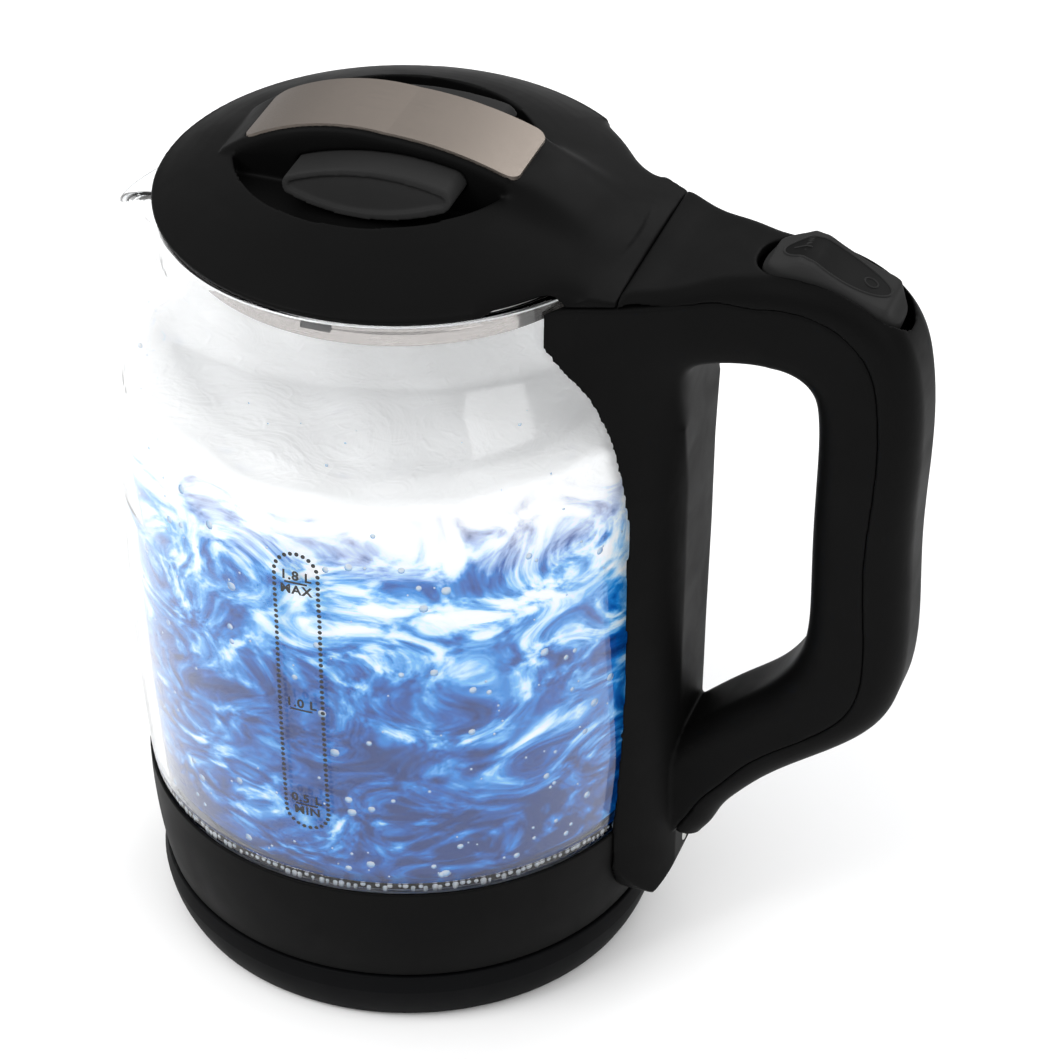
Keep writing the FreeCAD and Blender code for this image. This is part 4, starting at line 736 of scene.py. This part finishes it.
# The materials of the pieces that aren't in the CAD part.
PRINT = ink("scale_ink")
FOAM = white_foam("white_foam")
WATER = boiling_water("boiling_water_painted_glow", WATER_FLOOR, WATER_TOP)
BUBBLE = bubble_painted_shine("bubble_painted_shine")


# ---------------------------------------------------------------- rocker and handle

# The rocker's oval face, in shares of the rocker's length, and its half width.
FACE_MIDDLE = 0.52
FACE_LONG = 0.37
FACE_HALF = 6.4 * MM
FACE_LIFT = 0.08 * MM
FACE_STEPS = 64
MARK_LIFT = 0.1 * MM
RIM_BEAD = 0.34 * MM
MARK_BEAD = 0.24 * MM
BAR_PLACE = 0.66
BAR_STEP = 0.012
RING_PLACE = 0.62
RING_LONG = 0.045
RING_HALF = 1.7 * MM


def tube(points, radius, closed, vertices, faces, around=8):
    """Adds a round bead along points; a closed one joins its ends."""
    first = len(vertices)
    count = len(points)
    for number, point in enumerate(points):
        ahead = points[(number + 1) % count] if closed else points[min(number + 1, count - 1)]
        behind = points[number - 1] if closed or number else points[0]
        along = (ahead - behind).normalized()
        side = along.cross(Vector((0, 0, 1))).normalized()
        up = side.cross(along)
        for step in range(around):
            turn = math.tau * step / around
            vertices.append(point + side * radius * math.cos(turn) + up * radius * math.sin(turn))
    for number in range(count if closed else count - 1):
        here, there = first + number * around, first + (number + 1) % count * around
        for step in range(around):
            after = (step + 1) % around
            faces.append((here + step, there + step, there + after, here + after))
    if not closed:
        faces.append(tuple(first + step for step in reversed(range(around))))
        faces.append(tuple(first + (count - 1) * around + step for step in range(around)))


def on_rocker(surface, along, across, lift):
    """A point just above the rocker's face: along runs from 0 at its front to 1 at its rear."""
    low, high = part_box("rocker_switch")
    x = low[0] + (high[0] - low[0]) * along
    hit, point, normal, _ = surface.ray_cast(Vector((x, across, high[2] + 0.02)), Vector((0, 0, -1)))
    return point + normal * lift if hit else Vector((x, across, high[2]))


def rocker_face_plate(surface):
    """The satin oval let into the rocker's face."""
    rings, around = 10, FACE_STEPS
    vertices = [on_rocker(surface, FACE_MIDDLE, 0.0, FACE_LIFT)]
    for ring in range(1, rings + 1):
        share = ring / rings
        for step in range(around):
            turn = math.tau * step / around
            vertices.append(on_rocker(surface, FACE_MIDDLE + FACE_LONG * share * math.cos(turn),
                                      FACE_HALF * share * math.sin(turn), FACE_LIFT))
    faces = [(0, 1 + step, 1 + (step + 1) % around) for step in range(around)]
    for ring in range(rings - 1):
        inner, outer = 1 + ring * around, 1 + (ring + 1) * around
        for step in range(around):
            after = (step + 1) % around
            faces.append((inner + step, outer + step, outer + after, inner + after))
    mesh_piece("rocker_face", vertices, faces, MATERIALS["black_plastic"], "rocker")


def rocker_marks(surface):
    """The thin raised rim of the rocker's face, a bar near its front and a ring near its rear."""
    vertices, faces = [], []
    rim = []
    for step in range(FACE_STEPS):
        turn = math.tau * step / FACE_STEPS
        rim.append(on_rocker(surface, FACE_MIDDLE + FACE_LONG * math.cos(turn),
                             FACE_HALF * math.sin(turn), 0.0))
    tube(rim, RIM_BEAD, True, vertices, faces)
    bar = [on_rocker(surface, FACE_MIDDLE - FACE_LONG * BAR_PLACE + BAR_STEP * step, 0.0, MARK_LIFT)
           for step in range(-5, 6)]
    tube(bar, MARK_BEAD, False, vertices, faces)
    ring = []
    for step in range(24):
        turn = math.tau * step / 24
        ring.append(on_rocker(surface, FACE_MIDDLE + FACE_LONG * RING_PLACE + RING_LONG * math.cos(turn),
                              RING_HALF * math.sin(turn), MARK_LIFT))
    tube(ring, MARK_BEAD, True, vertices, faces)
    mesh_piece("rocker_marks", vertices, faces, MATERIALS["grey_plastic"], "rocker")


def handle_skin():
    """The strap and the inner shell as one smooth moulding, with a wide fillet where the grip leaves."""
    vertices, faces = [], []
    for name in ("handle_strap", "handle_inner_shell"):
        mesh = nodes[name].data
        first = len(vertices)
        vertices += [nodes[name].matrix_world @ vertex.co for vertex in mesh.vertices]
        faces += [tuple(first + corner for corner in polygon.vertices) for polygon in mesh.polygons]
    piece = mesh_piece("handle_skin", vertices, faces, MATERIALS["black_plastic"], "kettle")
    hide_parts("handle_strap", "handle_inner_shell")
    soften(piece, voxel=0.5 * MM, rounds=8)
    blend_over(piece, 160, (86.0 * MM, EVERYWHERE, 203.0 * MM), near=9.0 * MM, far=20.0 * MM)


# ---------------------------------------------------------------- assembly

dress_nodes()
soften(nodes["lid_cover"], voxel=0.45 * MM, rounds=8)
blend_over(nodes["lid_cover"], 260, (52.0 * MM, EVERYWHERE, 243.0 * MM), near=13.0 * MM, far=18.0 * MM)
soften(nodes["handle_outer_shell"], voxel=0.5 * MM, rounds=3)
soften(nodes["rocker_switch"], voxel=0.35 * MM, rounds=60)
for name in ("pinch_button_front", "pinch_button_rear"):
    soften(nodes[name], voxel=0.3 * MM, rounds=14)
bpy.context.view_layer.update()
rocker_surface = nodes["rocker_switch"].evaluated_get(bpy.context.evaluated_depsgraph_get())
rocker_face_plate(rocker_surface)
rocker_marks(rocker_surface)
handle_skin()
glass_jug()
printed_scale()
water_body()
foam_row()
bubbles("water_bubbles", 420, low=55.0 * MM, high=172.0 * MM, smallest=0.3 * MM, largest=1.9 * MM, seed=4)
bubbles("glass_drops", 60, low=180.0 * MM, high=205.0 * MM, smallest=0.2 * MM, largest=0.9 * MM, seed=9)


# ---------------------------------------------------------------- studio

def area_light(name, place, target, size, power):
    data = bpy.data.lights.new(name, "AREA")
    data.shape = "RECTANGLE"
    data.size, data.size_y = size
    data.energy = power
    lamp = bpy.data.objects.new(name, data)
    bpy.context.collection.objects.link(lamp)
    lamp.location = place
    lamp.rotation_euler = (Vector(target) - Vector(place)).to_track_quat("-Z", "Y").to_euler()


def studio():
    world = bpy.data.worlds.new("studio_world")
    bpy.context.scene.world = world
    world.use_nodes = True
    tree = world.node_tree
    background = tree.nodes["Background"]
    background.inputs["Strength"].default_value = 1.0
    sky = tree.nodes.new("ShaderNodeTexCoord")
    split = tree.nodes.new("ShaderNodeSeparateXYZ")
    ramp = tree.nodes.new("ShaderNodeValToRGB")
    ramp.color_ramp.elements[0].position = 0.02
    ramp.color_ramp.elements[0].color = (0.18, 0.18, 0.185, 1.0)
    ramp.color_ramp.elements[1].position = 0.55
    ramp.color_ramp.elements[1].color = (1.15, 1.15, 1.15, 1.0)
    tree.links.new(sky.outputs["Generated"], split.inputs["Vector"])
    tree.links.new(split.outputs["Z"], ramp.inputs["Fac"])
    tree.links.new(ramp.outputs["Color"], background.inputs["Color"])
    middle = (0.0, 0.0, 0.13)
    area_light("key_light", (-0.9, -1.0, 1.4), middle, size=(0.9, 0.9), power=17.0)
    area_light("fill_light", (1.2, -0.7, 0.7), middle, size=(0.7, 1.0), power=4.0)
    area_light("rim_light", (0.5, 1.2, 1.1), middle, size=(1.0, 0.6), power=6.0)
    bpy.context.scene.view_settings.view_transform = "Standard"
    side = 3.0
    mesh = bpy.data.meshes.new("studio_floor")
    corners = [(-side, -side, 0), (side, -side, 0), (side, side, 0), (-side, side, 0)]
    mesh.from_pydata(corners, [], [(0, 1, 2, 3)])
    floor = bpy.data.objects.new("studio_floor", mesh)
    bpy.context.collection.objects.link(floor)
    mesh.materials.append(pale_floor("pale_floor"))


CAMERA_PLACE = (0.33898, -0.85056, 0.77635)
CAMERA_DIRECTION = (-0.27256, 0.76544, -0.58293)
CAMERA_ROLL = math.radians(0.25)
CAMERA_LENS = 137.4
FILM_WIDTH = 36.0


def camera():
    """The photograph's point of view."""
    data = bpy.data.cameras.new("view_camera")
    data.sensor_width = FILM_WIDTH
    data.lens = CAMERA_LENS
    data.clip_start = 0.05
    viewer = bpy.data.objects.new("view_camera", data)
    bpy.context.collection.objects.link(viewer)
    turned = Vector(CAMERA_DIRECTION).to_track_quat("-Z", "Y").to_matrix().to_4x4()
    roll = Matrix.Rotation(CAMERA_ROLL, 4, "Z")
    viewer.matrix_world = Matrix.Translation(CAMERA_PLACE) @ turned @ roll
    bpy.context.scene.camera = viewer


studio()
camera()
